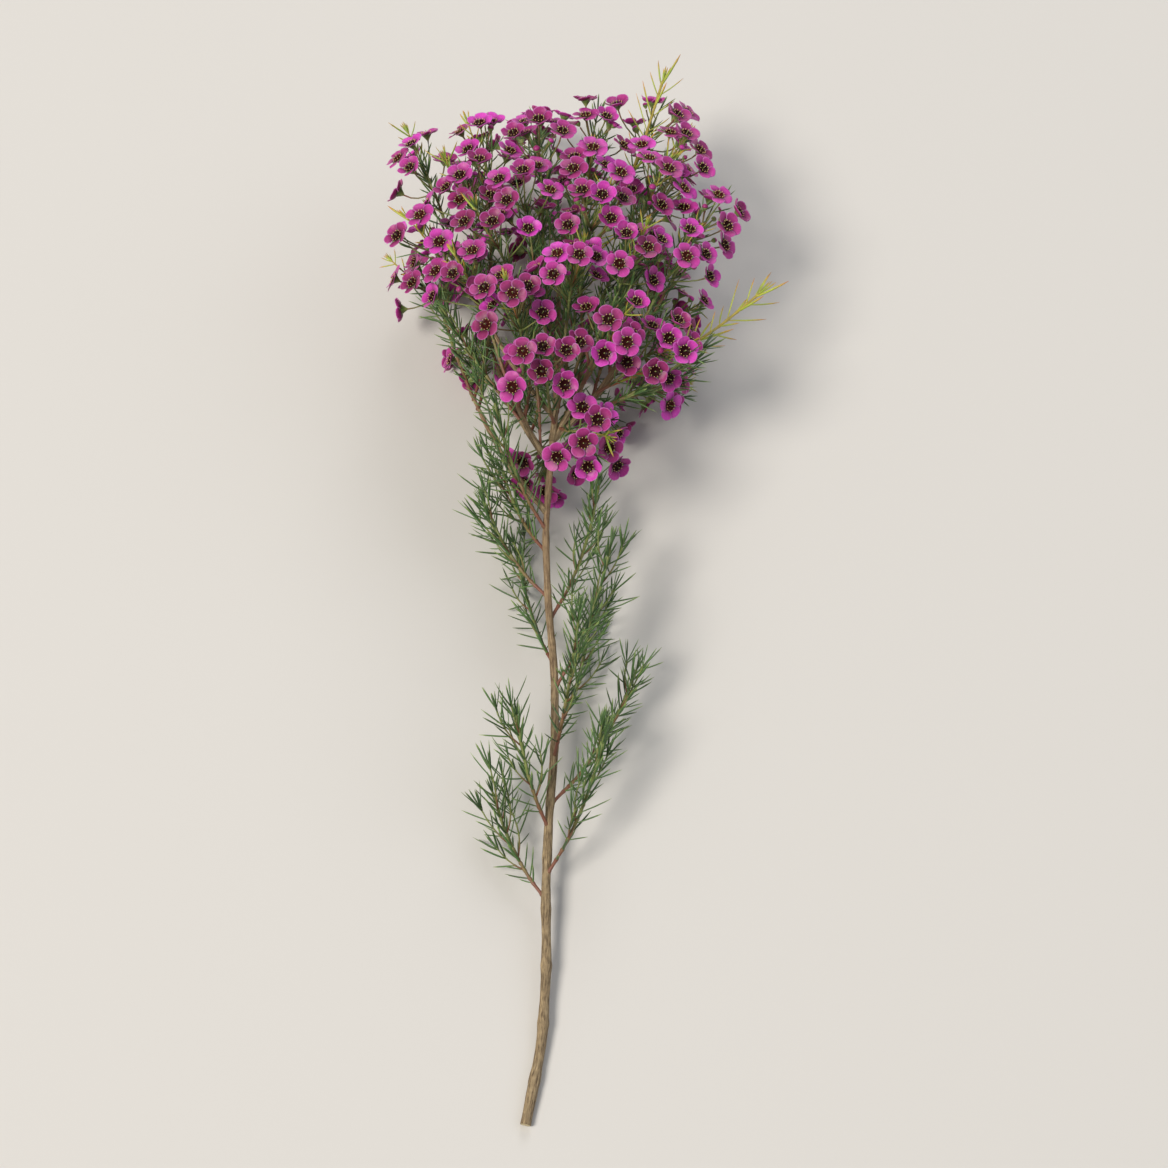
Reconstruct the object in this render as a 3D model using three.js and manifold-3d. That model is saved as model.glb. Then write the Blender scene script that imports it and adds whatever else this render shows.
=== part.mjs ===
// A cut waxflower stem (Chamelaucium) lying on its side on a flat surface at z = 0.
// The cut end is at the front and the flowering head at the back: the stem runs along +Y, +X is across
// and +Z is up. Sizes are millimetres.
//
// The stem is grown first as a plan of lines and places, by rule and with seeded draws, and each node is
// then built from its plan: one woody stem, leafy shoots, young shoots and flower sprays.

import * as THREE from 'three';
import { mergeVertices } from 'three/addons/utils/BufferGeometryUtils.js';
import Module from 'manifold-3d';

const wasm = await Module();
wasm.setup();

// ---- Driving dimensions ----

const SEED = 41;

// Main stem: a cubic curve from the cut end to the last fork, with a slight sway at its nodes.
const STEM_LINE = [
  new THREE.Vector3(-28, -279, 2.4),
  new THREE.Vector3(-2, -119, 4),
  new THREE.Vector3(-30, 1, 44),
  new THREE.Vector3(-10, 171, 60),
];
const STEM_STEPS = 12;
const STEM_SWAY = 2.2;
const SWAY_WAVES = [17, 13]; // radians of sway from end to end, across and in height
const SWAY_IN_HEIGHT = 0.4; // as a share of the sway across
const STEM_BASE_RADIUS = 2.7;
const STEM_TIP_RADIUS = 1.2;
const STEM_SIDES = 6;

// Head: the sprays stand in an upper and a lower layer round the upper stem.
const HEAD_CENTRE = new THREE.Vector3(-14, 146, 51);
const HEAD_HALF = new THREE.Vector3(72, 90, 38);
const SPRAY_COUNT = 43;
const UPPER_SPRAYS = 25;
const HEAD_FLATTENED = 2.2; // how much wider the head is than high, about
const HEAD_TAPER = 0.22; // how much narrower the head is towards the cut end
const LOWER_DEPTH = 0.85; // depth of the lower layer as a share of the upper layer's height
const TAPER_MIDDLE = 0.2; // where the head is as wide as HEAD_HALF, from its centre (0) to its tip (1)
const LAYER_TURN = 1; // of the lower layer's spiral against the upper one's
const DOME_DROP = 0.8; // share of the dome's squared height that is lost at the head's rim
const DOME_HEIGHTS = [0.75, 1.05]; // shares of the dome's height at which the sprays stand
const STRAY = 5; // how far a spray stands from its place in the spiral
const TOP_SPRAYS = 5; // sprays nearest the tip, carried by the main stem itself
const BRANCH_COUNT = 9; // woody side branches, each with the sprays of one sector
const BRANCH_RADIUS = 1.45;
const BRANCH_STEPS = 6; // steps from the stem to a branch's spray, of which the last ones are green twig
const BRANCH_WOOD_STEPS = 4;
const BRANCH_SIDES = 4;
const BRANCH_FORKS = [0.25, 0.9]; // shares of the main stem between which the branches leave it
const TWIG_FORKS = [0.15, 0.95]; // shares of a branch between which its twigs leave it
const TOP_FORKS = [0.7, 0.99]; // shares of the main stem between which its own twigs leave it
const FORK_ANGLE = 0.55; // between a twig's way to its end and what carries it
const FORK_CHOICES = 24;
const FORK_REACH_COST = 0.0008; // radians of angle that a millimetre of twig counts for
const BEND_FORWARDS = 0.3; // a twig's bend, as shares of its reach along and across what carries it
const BEND_SIDEWAYS = 0.55;
const LEAST_LEAVING = 0.4; // sine of the least angle at which a twig leaves the wood
const HEADING_REACH = 0.04; // share of a line on each side of a point that gives its heading there

// Flower spray: a green twig with needle leaves. Four pedicels leave it at a node below the tip and four
// at the tip, in a rounded, flat-topped bunch.
const TWIG_RADIUS = 0.95;
const RACHIS_RADIUS = 0.75;
const RACHIS_LENGTH = 14;
const RACHIS_BEND = 0.4; // share of the rachis before it turns outwards
const RACHIS_OUTWARD = 0.5;
const TWIG_STEPS = 3;
const TWIG_SIDES = 4;
const FLOWER_NODE = 8; // from the lower flower node to the tip
const INNER = { tilt: [0.38, 0.6], length: [14, 26] };
const OUTER = { tilt: [0.8, 1.15], length: [16, 28] };
const FLOWERS_PER_SPRAY = 8;
const FLOWERS_PER_NODE = 4;
const FLOWER_TURN = 0.35; // most that a flower strays round its twig
const FLOWER_TRIES = 40;
const FACING_OUT = 0.35; // how far a flower turns from its pedicel's direction to the head's outside
const FACING_UP = [0.35, 1.1]; // and to the light, which comes from above
const PEDICEL_RADIUS = 0.42;

// Waxflower: an obconical cup with five rounded petals, from cupped (open 0) to flat (open 1).
const PETALS = 5;
const FLOWER_RADIUS = 7.9;
const FLOWER_SIZES = [0.9, 1.04]; // shares of that radius
const CUP_HEIGHT = 3.6;
const CUP_RADIUS = 3;
const CUP_CROWN = 1.3; // the middle of the flower above the petals' roots
const PETAL_HALF_ANGLE = 0.5; // from a petal's middle line to its shoulder, seen from the flower's middle
const PETAL_RISE = [3, 0.5]; // of the shoulders above the petals' roots, cupped and flat
const CUPPED_REACH = 0.84;
const PETAL_STEP = (2 * Math.PI) / PETALS;

// Balls that a flower keeps free: one in its cup, two in each petal and a row up its pedicel.
const CUP_BALL = 2.6;
const PETAL_BALL = 0.27; // the next three lie in the flower's radius
const PETAL_BALL_REACH = 0.74;
const PETAL_BALL_TURN = 0.34;
const PETAL_BALL_RISE = [2.3, 0.6];
const BARE_PEDICEL = 0.18; // share of a pedicel beside its neighbours' roots that needs no balls
const BARE_NEEDLE = 0.25;
const BALL_SPACING = 1.6;

// Needle leaves, in opposite pairs that cross from node to node.
const NODE_HEIGHT = 1.2;
const NEEDLE_TILT = [0.85, 0.6]; // from its twig's heading, at the twig's base and tip
const TILT_CHANGES = [0, 0.15, -0.1, 0.3, 0.45];
const NEEDLE_LENGTHS = [0.8, 1.2]; // shares of a twig's usual needle length
const SPRAY_NEEDLE_PAIRS = 3;
const SPRAY_NEEDLE_LENGTH = 12;
const SPRAY_NEEDLES_START = 7; // from a spray's base to its first pair
const SPRAY_NEEDLES_END = 5; // from its last pair to its lower flower node
const SHOOT_COUNT = 17;
const SHOOT_LENGTH = 72;
const SHOOT_LENGTHS = [0.75, 1.2]; // shares of that length
const SHOOT_RADIUS = [0.95, 0.75];
const SHOOT_STEPS = 4;
const SHOOT_NEEDLE_LENGTH = 14;
const SHOOT_NEEDLE_PAIRS = 5;
const SHOOT_NEEDLES_START = 0.16; // share of a shoot under its first pair
const SHOOT_BARE_NODES = 2.5; // node heights above its last pair
const SHOOT_BEND = 0.45; // share of a shoot's length before it turns forwards
const SHOOT_FORWARDS = 0.38; // and how far it goes on from there: along its limb, away from it and up
const SHOOT_SIDEWAYS = 0.22;
const SHOOT_LIFT = 0.05;
const STEM_SHOOTS = [0.24, 0.68]; // shares of the main stem between which it carries shoots
const BRANCH_SHOOTS = [0.25, 0.6];
const SHOOT_LEAN = [0.65, 0.85]; // between a shoot and its limb
const SHOOT_TRIES = 12;
const TRY_TURN = 0.53; // round the limb from one try to the next

// Young shoots stand out of the head: which limb carries each (0 is the main stem), where and which way.
const YOUNG_SHOOTS = [
  { limb: 0, t: 0.93, turn: 3.15, lean: [0.58, 0.62], length: 134 },
  { limb: 4, t: 0.5, turn: 5.25, lean: [0.58, 0.62], length: 95 },
];
const YOUNG_NEEDLE_LENGTH = 19;

const GAP = 0.3; // between the faces of nodes that meet
const CLEAR = 0.4; // least space between the pieces of two nodes
const THIN = 0.85; // radius that a needle, pedicel or twig keeps free round its centre line
const OWN_THIN = 1.15; // least distance between the centre lines of one node's thin parts
const WELD = 1e-5; // points closer than this are one
const GOLDEN_ANGLE = Math.PI * (3 - Math.sqrt(5));
const UP = new THREE.Vector3(0, 0, 1);

// ---- Seeded draws ----

// The first stream of each kind of thing, and the first owner number of each kind of shoot.
const STREAMS = { place: 100, spray: 1000, young: 4000, leafy: 5000 };
const OWNERS = { leafy: 100, young: 200 };

// mulberry32, one stream for each thing that grows
function stream(key) {
  let state = (SEED * 7919 + key * 104729) >>> 0;
  return function draw(low = 0, high = 1) {
    state = (state + 0x6d2b79f5) >>> 0;
    let mixed = state;
    mixed = Math.imul(mixed ^ (mixed >>> 15), mixed | 1);
    mixed ^= mixed + Math.imul(mixed ^ (mixed >>> 7), mixed | 61);
    return low + (high - low) * (((mixed ^ (mixed >>> 14)) >>> 0) / 4294967296);
  };
}

// ---- Lines ----

const lerp = (a, b, t) => a + (b - a) * t;

function mixed(a, b, t) {
  return a.clone().lerp(b, t);
}

function bezier(points, t) {
  let level = points;
  while (level.length > 1) {
    level = level.slice(1).map((point, i) => mixed(level[i], point, t));
  }
  return level[0];
}

function curvePoints(points, steps) {
  return Array.from({ length: steps + 1 }, (_, i) => bezier(points, i / steps));
}

function lengthOf(line) {
  return line.slice(1).reduce((sum, point, i) => sum + point.distanceTo(line[i]), 0);
}

// The point at a share of a line's length, and which step of the line it lies in.
function find(line, t) {
  let left = Math.min(Math.max(t, 0), 1) * lengthOf(line);
  for (let i = 0; i < line.length - 1; i++) {
    const step = line[i].distanceTo(line[i + 1]);
    if (left <= step || i === line.length - 2) {
      return { at: mixed(line[i], line[i + 1], Math.min(left / step, 1)), step: i };
    }
    left -= step;
  }
  return null;
}

function along(line, t) {
  return find(line, t).at;
}

function headingAt(line, t) {
  return along(line, t + HEADING_REACH).sub(along(line, t - HEADING_REACH)).normalize();
}

// A frame at a share of a line's length, carried along it without twist: the point, the heading and two
// vectors across it.
function frameAt(line, t) {
  const { at, step } = find(line, t);
  let u = across(line[1].clone().sub(line[0]).normalize())[0];
  for (let i = 1; i <= step; i++) {
    u = squared(u, line[i + 1].clone().sub(line[i]).normalize());
  }
  const heading = headingAt(line, t);
  u = squared(u, heading);
  return { at, heading, u, v: heading.clone().cross(u) };
}

// A vector turned just enough to stand square to a direction.
function squared(vector, direction) {
  return vector.clone().addScaledVector(direction, -vector.dot(direction)).normalize();
}

// Two unit vectors across a direction.
function across(direction) {
  const side = Math.abs(direction.y) < 0.9 ? new THREE.Vector3(0, 1, 0) : UP;
  const u = side.clone().cross(direction).normalize();
  return [u, direction.clone().cross(u)];
}

// A direction turned away from an axis by a tilt, at a turn round the axis.
function tilted(axis, tilt, turn) {
  const [u, v] = across(axis);
  return axis.clone().multiplyScalar(Math.cos(tilt))
    .addScaledVector(u, Math.sin(tilt) * Math.cos(turn))
    .addScaledVector(v, Math.sin(tilt) * Math.sin(turn));
}

// ---- Space already taken ----

// Everything grown is entered as balls in a grid, so that a new piece can be kept clear of the others.
const CELL = 12;
const WOOD = 0; // the owner number of the woody stem
const taken = new Map();

function cellOf(at) {
  return at.toArray().map((value) => Math.floor(value / CELL));
}

// The steps to a cell's neighbours and to itself.
const AROUND = [-1, 0, 1].flatMap((k) => [-1, 0, 1].flatMap((j) => [-1, 0, 1].map((i) => [i, j, k])));

function take(balls, owner) {
  for (const ball of balls) {
    const key = cellOf(ball.at).join();
    if (!taken.has(key)) {
      taken.set(key, []);
    }
    taken.get(key).push({ ...ball, owner });
  }
}

// Whether balls keep clear of the surface and of what is there. Rooted balls may touch the wood.
function isClear(balls, owner) {
  return balls.every(({ at, radius, thin, rooted }) => {
    if (at.z < radius) {
      return false;
    }
    const cell = cellOf(at);
    for (const aside of AROUND) {
      for (const other of taken.get(cell.map((value, i) => value + aside[i]).join()) ?? []) {
        if (rooted && other.owner === WOOD) {
          continue;
        }
        const own = other.owner === owner;
        const ownThin = own && thin && other.thin;
        if (at.distanceTo(other.at) < (ownThin ? OWN_THIN : radius + other.radius + (own ? 0 : CLEAR))) {
          return false;
        }
      }
    }
    return true;
  });
}

function lineBalls(from, to, radius = THIN) {
  const count = Math.max(1, Math.ceil(from.distanceTo(to) / BALL_SPACING));
  return Array.from({ length: count + 1 }, (_, i) => {
    return { at: mixed(from, to, i / count), radius, thin: true };
  });
}

function twigBalls(twig) {
  return tubeBalls(twig).map((ball, i) => ({ ...ball, rooted: i < 2 }));
}

function tubeBalls({ line, from, to }) {
  return line.slice(1).flatMap((point, i) => {
    return lineBalls(line[i], point, Math.max(THIN, lerp(from, to, i / line.length)));
  });
}

// ---- Woody stem ----

function stemPoint(t) {
  const point = bezier(STEM_LINE, t);
  point.x += STEM_SWAY * Math.sin(t * SWAY_WAVES[0]);
  point.z += STEM_SWAY * SWAY_IN_HEIGHT * (1 - Math.cos(t * SWAY_WAVES[1]));
  return point;
}

const HALVINGS = 20;

// The main stem's point at a distance from the cut end, found by halving.
function stemAtY(y) {
  let low = 0;
  let high = 1;
  for (let halving = 0; halving < HALVINGS; halving++) {
    const middle = (low + high) / 2;
    [low, high] = stemPoint(middle).y < y ? [middle, high] : [low, middle];
  }
  return stemPoint(low);
}

// Places of the sprays: a sunflower spiral seen from above for each of the head's two layers, domed in
// height and wider towards the tip.
function sprayPlaces() {
  return Array.from({ length: SPRAY_COUNT }, (_, i) => {
    const draw = stream(STREAMS.place + i);
    const upper = i < UPPER_SPRAYS;
    const rank = upper ? i : i - UPPER_SPRAYS;
    const ring = Math.sqrt((rank + 0.5) / (upper ? UPPER_SPRAYS : SPRAY_COUNT - UPPER_SPRAYS));
    const turn = rank * GOLDEN_ANGLE + (upper ? 0 : LAYER_TURN);
    const width = 1 + HEAD_TAPER * (ring * Math.sin(turn) - TAPER_MIDDLE);
    const dome = Math.sqrt(1 - DOME_DROP * ring * ring) * draw(...DOME_HEIGHTS);
    return new THREE.Vector3(
      HEAD_CENTRE.x + HEAD_HALF.x * ring * Math.cos(turn) * width + draw(-STRAY, STRAY),
      HEAD_CENTRE.y + HEAD_HALF.y * ring * Math.sin(turn) + draw(-STRAY, STRAY),
      HEAD_CENTRE.z + HEAD_HALF.z * dome * (upper ? 1 : -LOWER_DEPTH),
    );
  });
}

// How far a place lies from the main stem, and at what turn round it.
function fromStem(place) {
  const stem = stemAtY(place.y);
  const x = place.x - stem.x;
  const z = (place.z - stem.z) * HEAD_FLATTENED;
  return { distance: Math.hypot(x, place.z - stem.z), turn: Math.atan2(z, x) };
}

// The shares of a carrying line at which a twig to a place could leave it, the most natural angle first.
function forksOn(line, place, between) {
  const forks = Array.from({ length: FORK_CHOICES }, (_, i) => {
    const t = lerp(...between, i / (FORK_CHOICES - 1));
    const reach = place.clone().sub(along(line, t));
    const bend = Math.abs(reach.angleTo(headingAt(line, t)) - FORK_ANGLE);
    return { t, cost: bend + reach.length() * FORK_REACH_COST };
  });
  return forks.sort((a, b) => a.cost - b.cost).map((fork) => fork.t);
}

// A twig from a carrying line to a place: it leaves sideways and then turns forwards.
function twigLine(line, t, place, steps) {
  const start = along(line, t);
  const reach = place.clone().sub(start);
  const heading = headingAt(line, t);
  const sideways = reach.clone().addScaledVector(heading, -reach.dot(heading));
  const bend = start.clone()
    .addScaledVector(heading, reach.dot(heading) * BEND_FORWARDS)
    .addScaledVector(sideways, BEND_SIDEWAYS);
  return curvePoints([start, bend, place], steps);
}

// The woody limbs: the main stem, and a branch towards the farthest spray of each sector round it.
// Returns them with the lines of the branches' own green ends, and which limb carries each other spray.
function growWood(places) {
  const stemLine = Array.from({ length: STEM_STEPS + 1 }, (_, i) => stemPoint(i / STEM_STEPS));
  const stem = { line: stemLine, from: STEM_BASE_RADIUS, to: STEM_TIP_RADIUS, sides: STEM_SIDES };
  const limbs = [stem];
  const ends = [];
  const calls = [];
  const byHeight = places.slice().sort((a, b) => b.y - a.y);
  const sides = byHeight.slice(TOP_SPRAYS).map((place) => ({ place, ...fromStem(place) }));
  sides.sort((a, b) => a.turn - b.turn);
  for (let sector = 0; sector < BRANCH_COUNT; sector++) {
    const first = Math.round((sector * sides.length) / BRANCH_COUNT);
    const last = Math.round(((sector + 1) * sides.length) / BRANCH_COUNT);
    const group = sides.slice(first, last).sort((a, b) => b.distance - a.distance);
    const fork = forksOn(stemLine, group[0].place, BRANCH_FORKS)[0];
    const line = twigLine(stemLine, fork, group[0].place, BRANCH_STEPS);
    const wood = line.slice(0, BRANCH_WOOD_STEPS + 1);
    const branch = { line: wood, from: BRANCH_RADIUS, to: TWIG_RADIUS, sides: BRANCH_SIDES };
    const plane = headingAt(wood, 1);
    const start = wood[BRANCH_WOOD_STEPS].clone().addScaledVector(plane, GAP);
    limbs.push(branch);
    ends.push(withRachis([start, ...line.slice(BRANCH_WOOD_STEPS + 1)], plane));
    calls.push(...group.slice(1).map(({ place }) => ({ limb: branch, place, between: TWIG_FORKS })));
  }
  const top = byHeight.slice(0, TOP_SPRAYS);
  calls.push(...top.map((place) => ({ limb: stem, place, between: TOP_FORKS })));
  return { limbs, ends, calls };
}

// A spray's twig goes on from the place that the layout gives it, turned outwards a little.
function withRachis(line, plane) {
  const end = line[line.length - 1];
  const heading = headingAt(line, 1);
  const outward = end.clone().sub(HEAD_CENTRE).divide(HEAD_HALF).normalize();
  const axis = heading.clone().addScaledVector(outward, RACHIS_OUTWARD).normalize();
  const bend = end.clone().addScaledVector(heading, RACHIS_LENGTH * RACHIS_BEND);
  const tip = bend.clone().addScaledVector(axis, RACHIS_LENGTH * (1 - RACHIS_BEND));
  return { line: [...line, bend, tip], from: TWIG_RADIUS, to: RACHIS_RADIUS, plane, outward };
}

// A green twig from a limb's side to a place, by the first fork that leaves it clear. Its base face lies
// along the limb's bark.
function growTwig({ limb, place, between }, owner) {
  for (const t of forksOn(limb.line, place, between)) {
    const line = twigLine(limb.line, t, place, TWIG_STEPS);
    const plane = barkPlane(limb, t, line);
    const twig = withRachis(fromBark(limb, t, line), plane);
    if (headingAt(line, 0).dot(plane) > LEAST_LEAVING && isClear(twigBalls(twig), owner)) {
      return [twig];
    }
  }
  return [];
}

// The direction square to a limb's axis in which a side line leaves it.
function barkPlane(limb, t, line) {
  const heading = headingAt(limb.line, t);
  const way = line[1].clone().sub(line[0]);
  return way.addScaledVector(heading, -way.dot(heading)).normalize();
}

// A line from a limb's middle, cut off at the limb's bark.
function fromBark(limb, t, line) {
  const way = line[1].clone().sub(line[0]).normalize();
  const reach = (lerp(limb.from, limb.to, t) + GAP) / way.dot(barkPlane(limb, t, line));
  return [line[0].clone().addScaledVector(way, reach), ...line.slice(1)];
}

// ---- Flower sprays ----

function flowerBalls({ root, neck, centre, axis, radius, open, spin }) {
  const [u, v] = across(axis);
  const balls = [{ at: centre, radius: CUP_BALL }, ...lineBalls(mixed(root, neck, BARE_PEDICEL), neck)];
  const distance = radius * PETAL_BALL_REACH * lerp(CUPPED_REACH, 1, open);
  const middle = centre.clone().addScaledVector(axis, lerp(...PETAL_BALL_RISE, open));
  for (let i = 0; i < 2 * PETALS; i++) {
    const angle = spin + Math.floor(i / 2) * PETAL_STEP + (i % 2 ? PETAL_BALL_TURN : -PETAL_BALL_TURN);
    const at = middle.clone()
      .addScaledVector(u, Math.cos(angle) * distance)
      .addScaledVector(v, Math.sin(angle) * distance);
    balls.push({ at, radius: radius * PETAL_BALL });
  }
  return balls;
}

// Tries places for one flower of a spray until one is clear.
function growFlower(spray, slot) {
  const { draw, twig, owner } = spray;
  const inner = slot < FLOWERS_PER_NODE;
  const { tilt, length } = inner ? INNER : OUTER;
  const t = inner ? 1 : 1 - FLOWER_NODE / lengthOf(twig.line);
  const frame = frameAt(twig.line, t);
  for (let attempt = 0; attempt < FLOWER_TRIES; attempt++) {
    const turn = slot * (Math.PI / 2) + (inner ? 0 : Math.PI / 4) + draw(-FLOWER_TURN, FLOWER_TURN);
    const lean = draw(...tilt);
    const way = frame.heading.clone().multiplyScalar(Math.cos(lean))
      .addScaledVector(frame.u, Math.sin(lean) * Math.cos(turn))
      .addScaledVector(frame.v, Math.sin(lean) * Math.sin(turn));
    const centre = frame.at.clone().addScaledVector(way, draw(...length));
    const axis = way.clone()
      .addScaledVector(twig.outward, FACING_OUT)
      .addScaledVector(UP, draw(...FACING_UP))
      .normalize();
    const neck = centre.clone().addScaledVector(axis, -CUP_HEIGHT);
    const radius = FLOWER_RADIUS * draw(...FLOWER_SIZES);
    const open = draw();
    const spin = draw(0, PETAL_STEP);
    const flower = { slot, root: frame.at, neck, centre, axis, radius, open, spin };
    if (isClear(flowerBalls(flower), owner)) {
      take(flowerBalls(flower), owner);
      return [flower];
    }
  }
  return [];
}

// A needle leaf from a twig, square to one of its four sides. Tries tilts until one is clear.
function growNeedle(twig, t, tilt, side, length, owner) {
  const frame = frameAt(twig.line, t);
  const turn = Math.PI / 4 + (side * Math.PI) / 2;
  const out = frame.u.clone().multiplyScalar(Math.cos(turn)).addScaledVector(frame.v, Math.sin(turn));
  for (const change of TILT_CHANGES) {
    const way = frame.heading.clone().multiplyScalar(Math.cos(tilt + change))
      .addScaledVector(out, Math.sin(tilt + change));
    const tip = frame.at.clone().addScaledVector(way, length);
    const balls = lineBalls(mixed(frame.at, tip, BARE_NEEDLE), tip);
    if (isClear(balls, owner)) {
      take(balls, owner);
      return [{ t, side, tip }];
    }
  }
  return [];
}

// Opposite pairs of needles up a twig, each pair square to the last one.
function growPairs(twig, pairs, from, to, needleLength, draw, owner) {
  const needles = [];
  for (let pair = 0; pair < pairs; pair++) {
    const t = lerp(from, to, pair / (pairs - 1));
    for (const side of [pair, pair + 2]) {
      const length = needleLength * draw(...NEEDLE_LENGTHS);
      needles.push(...growNeedle(twig, t, lerp(...NEEDLE_TILT, t), side % TWIG_SIDES, length, owner));
    }
  }
  return needles;
}

function growTwigs(ends, calls) {
  const sprays = [];
  const add = (twig) => {
    const owner = sprays.length + 1;
    take(tubeBalls(twig), owner);
    sprays.push({ owner, draw: stream(STREAMS.spray + owner), twig, flowers: [], needles: [] });
  };
  ends.forEach(add);
  calls.forEach((call) => growTwig(call, -1).forEach(add));
  return sprays;
}

// Fills the sprays: a flower for each in turn, and then the needles.
function growSprays(sprays) {
  for (let slot = 0; slot < FLOWERS_PER_SPRAY; slot++) {
    for (const spray of sprays) {
      spray.flowers.push(...growFlower(spray, slot));
    }
  }
  for (const { twig, needles, draw, owner } of sprays) {
    const length = lengthOf(twig.line);
    const first = SPRAY_NEEDLES_START / length;
    const last = 1 - (FLOWER_NODE + SPRAY_NEEDLES_END) / length;
    needles.push(...growPairs(twig, SPRAY_NEEDLE_PAIRS, first, last, SPRAY_NEEDLE_LENGTH, draw, owner));
  }
}

// ---- Leafy shoots ----

// A shoot leaves a limb's side and curves forwards. Tries turns round the limb until one is clear.
function growShoot(limb, { t, turn, lean, length }, owner, draw) {
  const base = along(limb.line, t);
  const heading = headingAt(limb.line, t);
  for (let attempt = 0; attempt < SHOOT_TRIES; attempt++) {
    const way = tilted(heading, draw(...lean), turn + attempt * TRY_TURN);
    const bend = base.clone().addScaledVector(way, length * SHOOT_BEND);
    const tip = bend.clone()
      .addScaledVector(heading, length * SHOOT_FORWARDS)
      .addScaledVector(way, length * SHOOT_SIDEWAYS);
    tip.z += length * SHOOT_LIFT;
    const straight = curvePoints([base, bend, tip], SHOOT_STEPS);
    const line = fromBark(limb, t, straight);
    const twig = { line, from: SHOOT_RADIUS[0], to: SHOOT_RADIUS[1], plane: barkPlane(limb, t, straight) };
    if (isClear(twigBalls(twig), owner)) {
      take(tubeBalls(twig), owner);
      return [{ owner, twig, draw, needles: [] }];
    }
  }
  return [];
}

function growShootNeedles({ twig, draw, owner, needles }, needleLength) {
  const last = 1 - (SHOOT_BARE_NODES * NODE_HEIGHT) / lengthOf(twig.line);
  needles.push(...growPairs(
    twig, SHOOT_NEEDLE_PAIRS, SHOOT_NEEDLES_START, last, needleLength, draw, owner));
}

function growYoungShoots(limbs) {
  const shoots = YOUNG_SHOOTS.flatMap((call, i) => {
    return growShoot(limbs[call.limb], call, OWNERS.young + i, stream(STREAMS.young + i));
  });
  shoots.forEach((shoot) => growShootNeedles(shoot, YOUNG_NEEDLE_LENGTH));
  return shoots;
}

// Leafy shoots: two of three on the main stem under the head, the others on the branches.
function growLeafyShoots(limbs) {
  const shoots = [];
  for (let i = 0; i < SHOOT_COUNT; i++) {
    const draw = stream(STREAMS.leafy + i);
    const onStem = i % 3 !== 2;
    const limb = onStem ? limbs[0] : limbs[1 + ((i * 2) % BRANCH_COUNT)];
    const t = onStem ? lerp(...STEM_SHOOTS, i / SHOOT_COUNT) : draw(...BRANCH_SHOOTS);
    const length = SHOOT_LENGTH * draw(...SHOOT_LENGTHS);
    const call = { t, turn: i * GOLDEN_ANGLE, lean: SHOOT_LEAN, length };
    shoots.push(...growShoot(limb, call, OWNERS.leafy + i, draw));
  }
  shoots.forEach((shoot) => growShootNeedles(shoot, SHOOT_NEEDLE_LENGTH));
  return shoots;
}

// The whole plan, in the order in which the parts find their room.
function grow() {
  const { limbs, ends, calls } = growWood(sprayPlaces());
  limbs.forEach((limb) => take(tubeBalls(limb), WOOD));
  const sprays = growTwigs(ends, calls);
  const young = growYoungShoots(limbs);
  growSprays(sprays);
  return { limbs, sprays, young, leafy: growLeafyShoots(limbs) };
}

// ---- Woody solid ----

function solid(geometry) {
  geometry.deleteAttribute('normal');
  geometry.deleteAttribute('uv');
  const merged = mergeVertices(geometry, WELD);
  return new wasm.Manifold(new wasm.Mesh({
    numProp: 3,
    vertProperties: new Float32Array(merged.attributes.position.array),
    triVerts: new Uint32Array(merged.index.array),
  }));
}

// A closed tapered tube: a cylinder whose rings are set across a line.
function tube({ line, from, to, sides }) {
  const rings = line.length - 1;
  const geometry = new THREE.CylinderGeometry(1, 1, 1, sides, rings);
  const length = lengthOf(line);
  const frames = line.map((at, i) => ({ ...frameAt(line, lengthOf(line.slice(0, i + 1)) / length), at }));
  const position = geometry.attributes.position;
  for (let i = 0; i < position.count; i++) {
    const ring = Math.round((position.getY(i) + 0.5) * rings);
    const radius = lerp(from, to, ring / rings);
    const point = frames[ring].at.clone()
      .addScaledVector(frames[ring].v, position.getX(i) * radius)
      .addScaledVector(frames[ring].u, position.getZ(i) * radius);
    position.setXYZ(i, point.x, point.y, point.z);
  }
  return solid(geometry);
}

function woodGeometry(limbs) {
  const { vertProperties, triVerts } = limbs.map(tube).reduce((whole, part) => whole.add(part)).getMesh();
  const geometry = new THREE.BufferGeometry();
  geometry.setAttribute('position', new THREE.BufferAttribute(vertProperties, 3));
  geometry.setIndex(new THREE.BufferAttribute(triVerts, 1));
  return geometry;
}

// ---- Green and flowering solids ----

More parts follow.
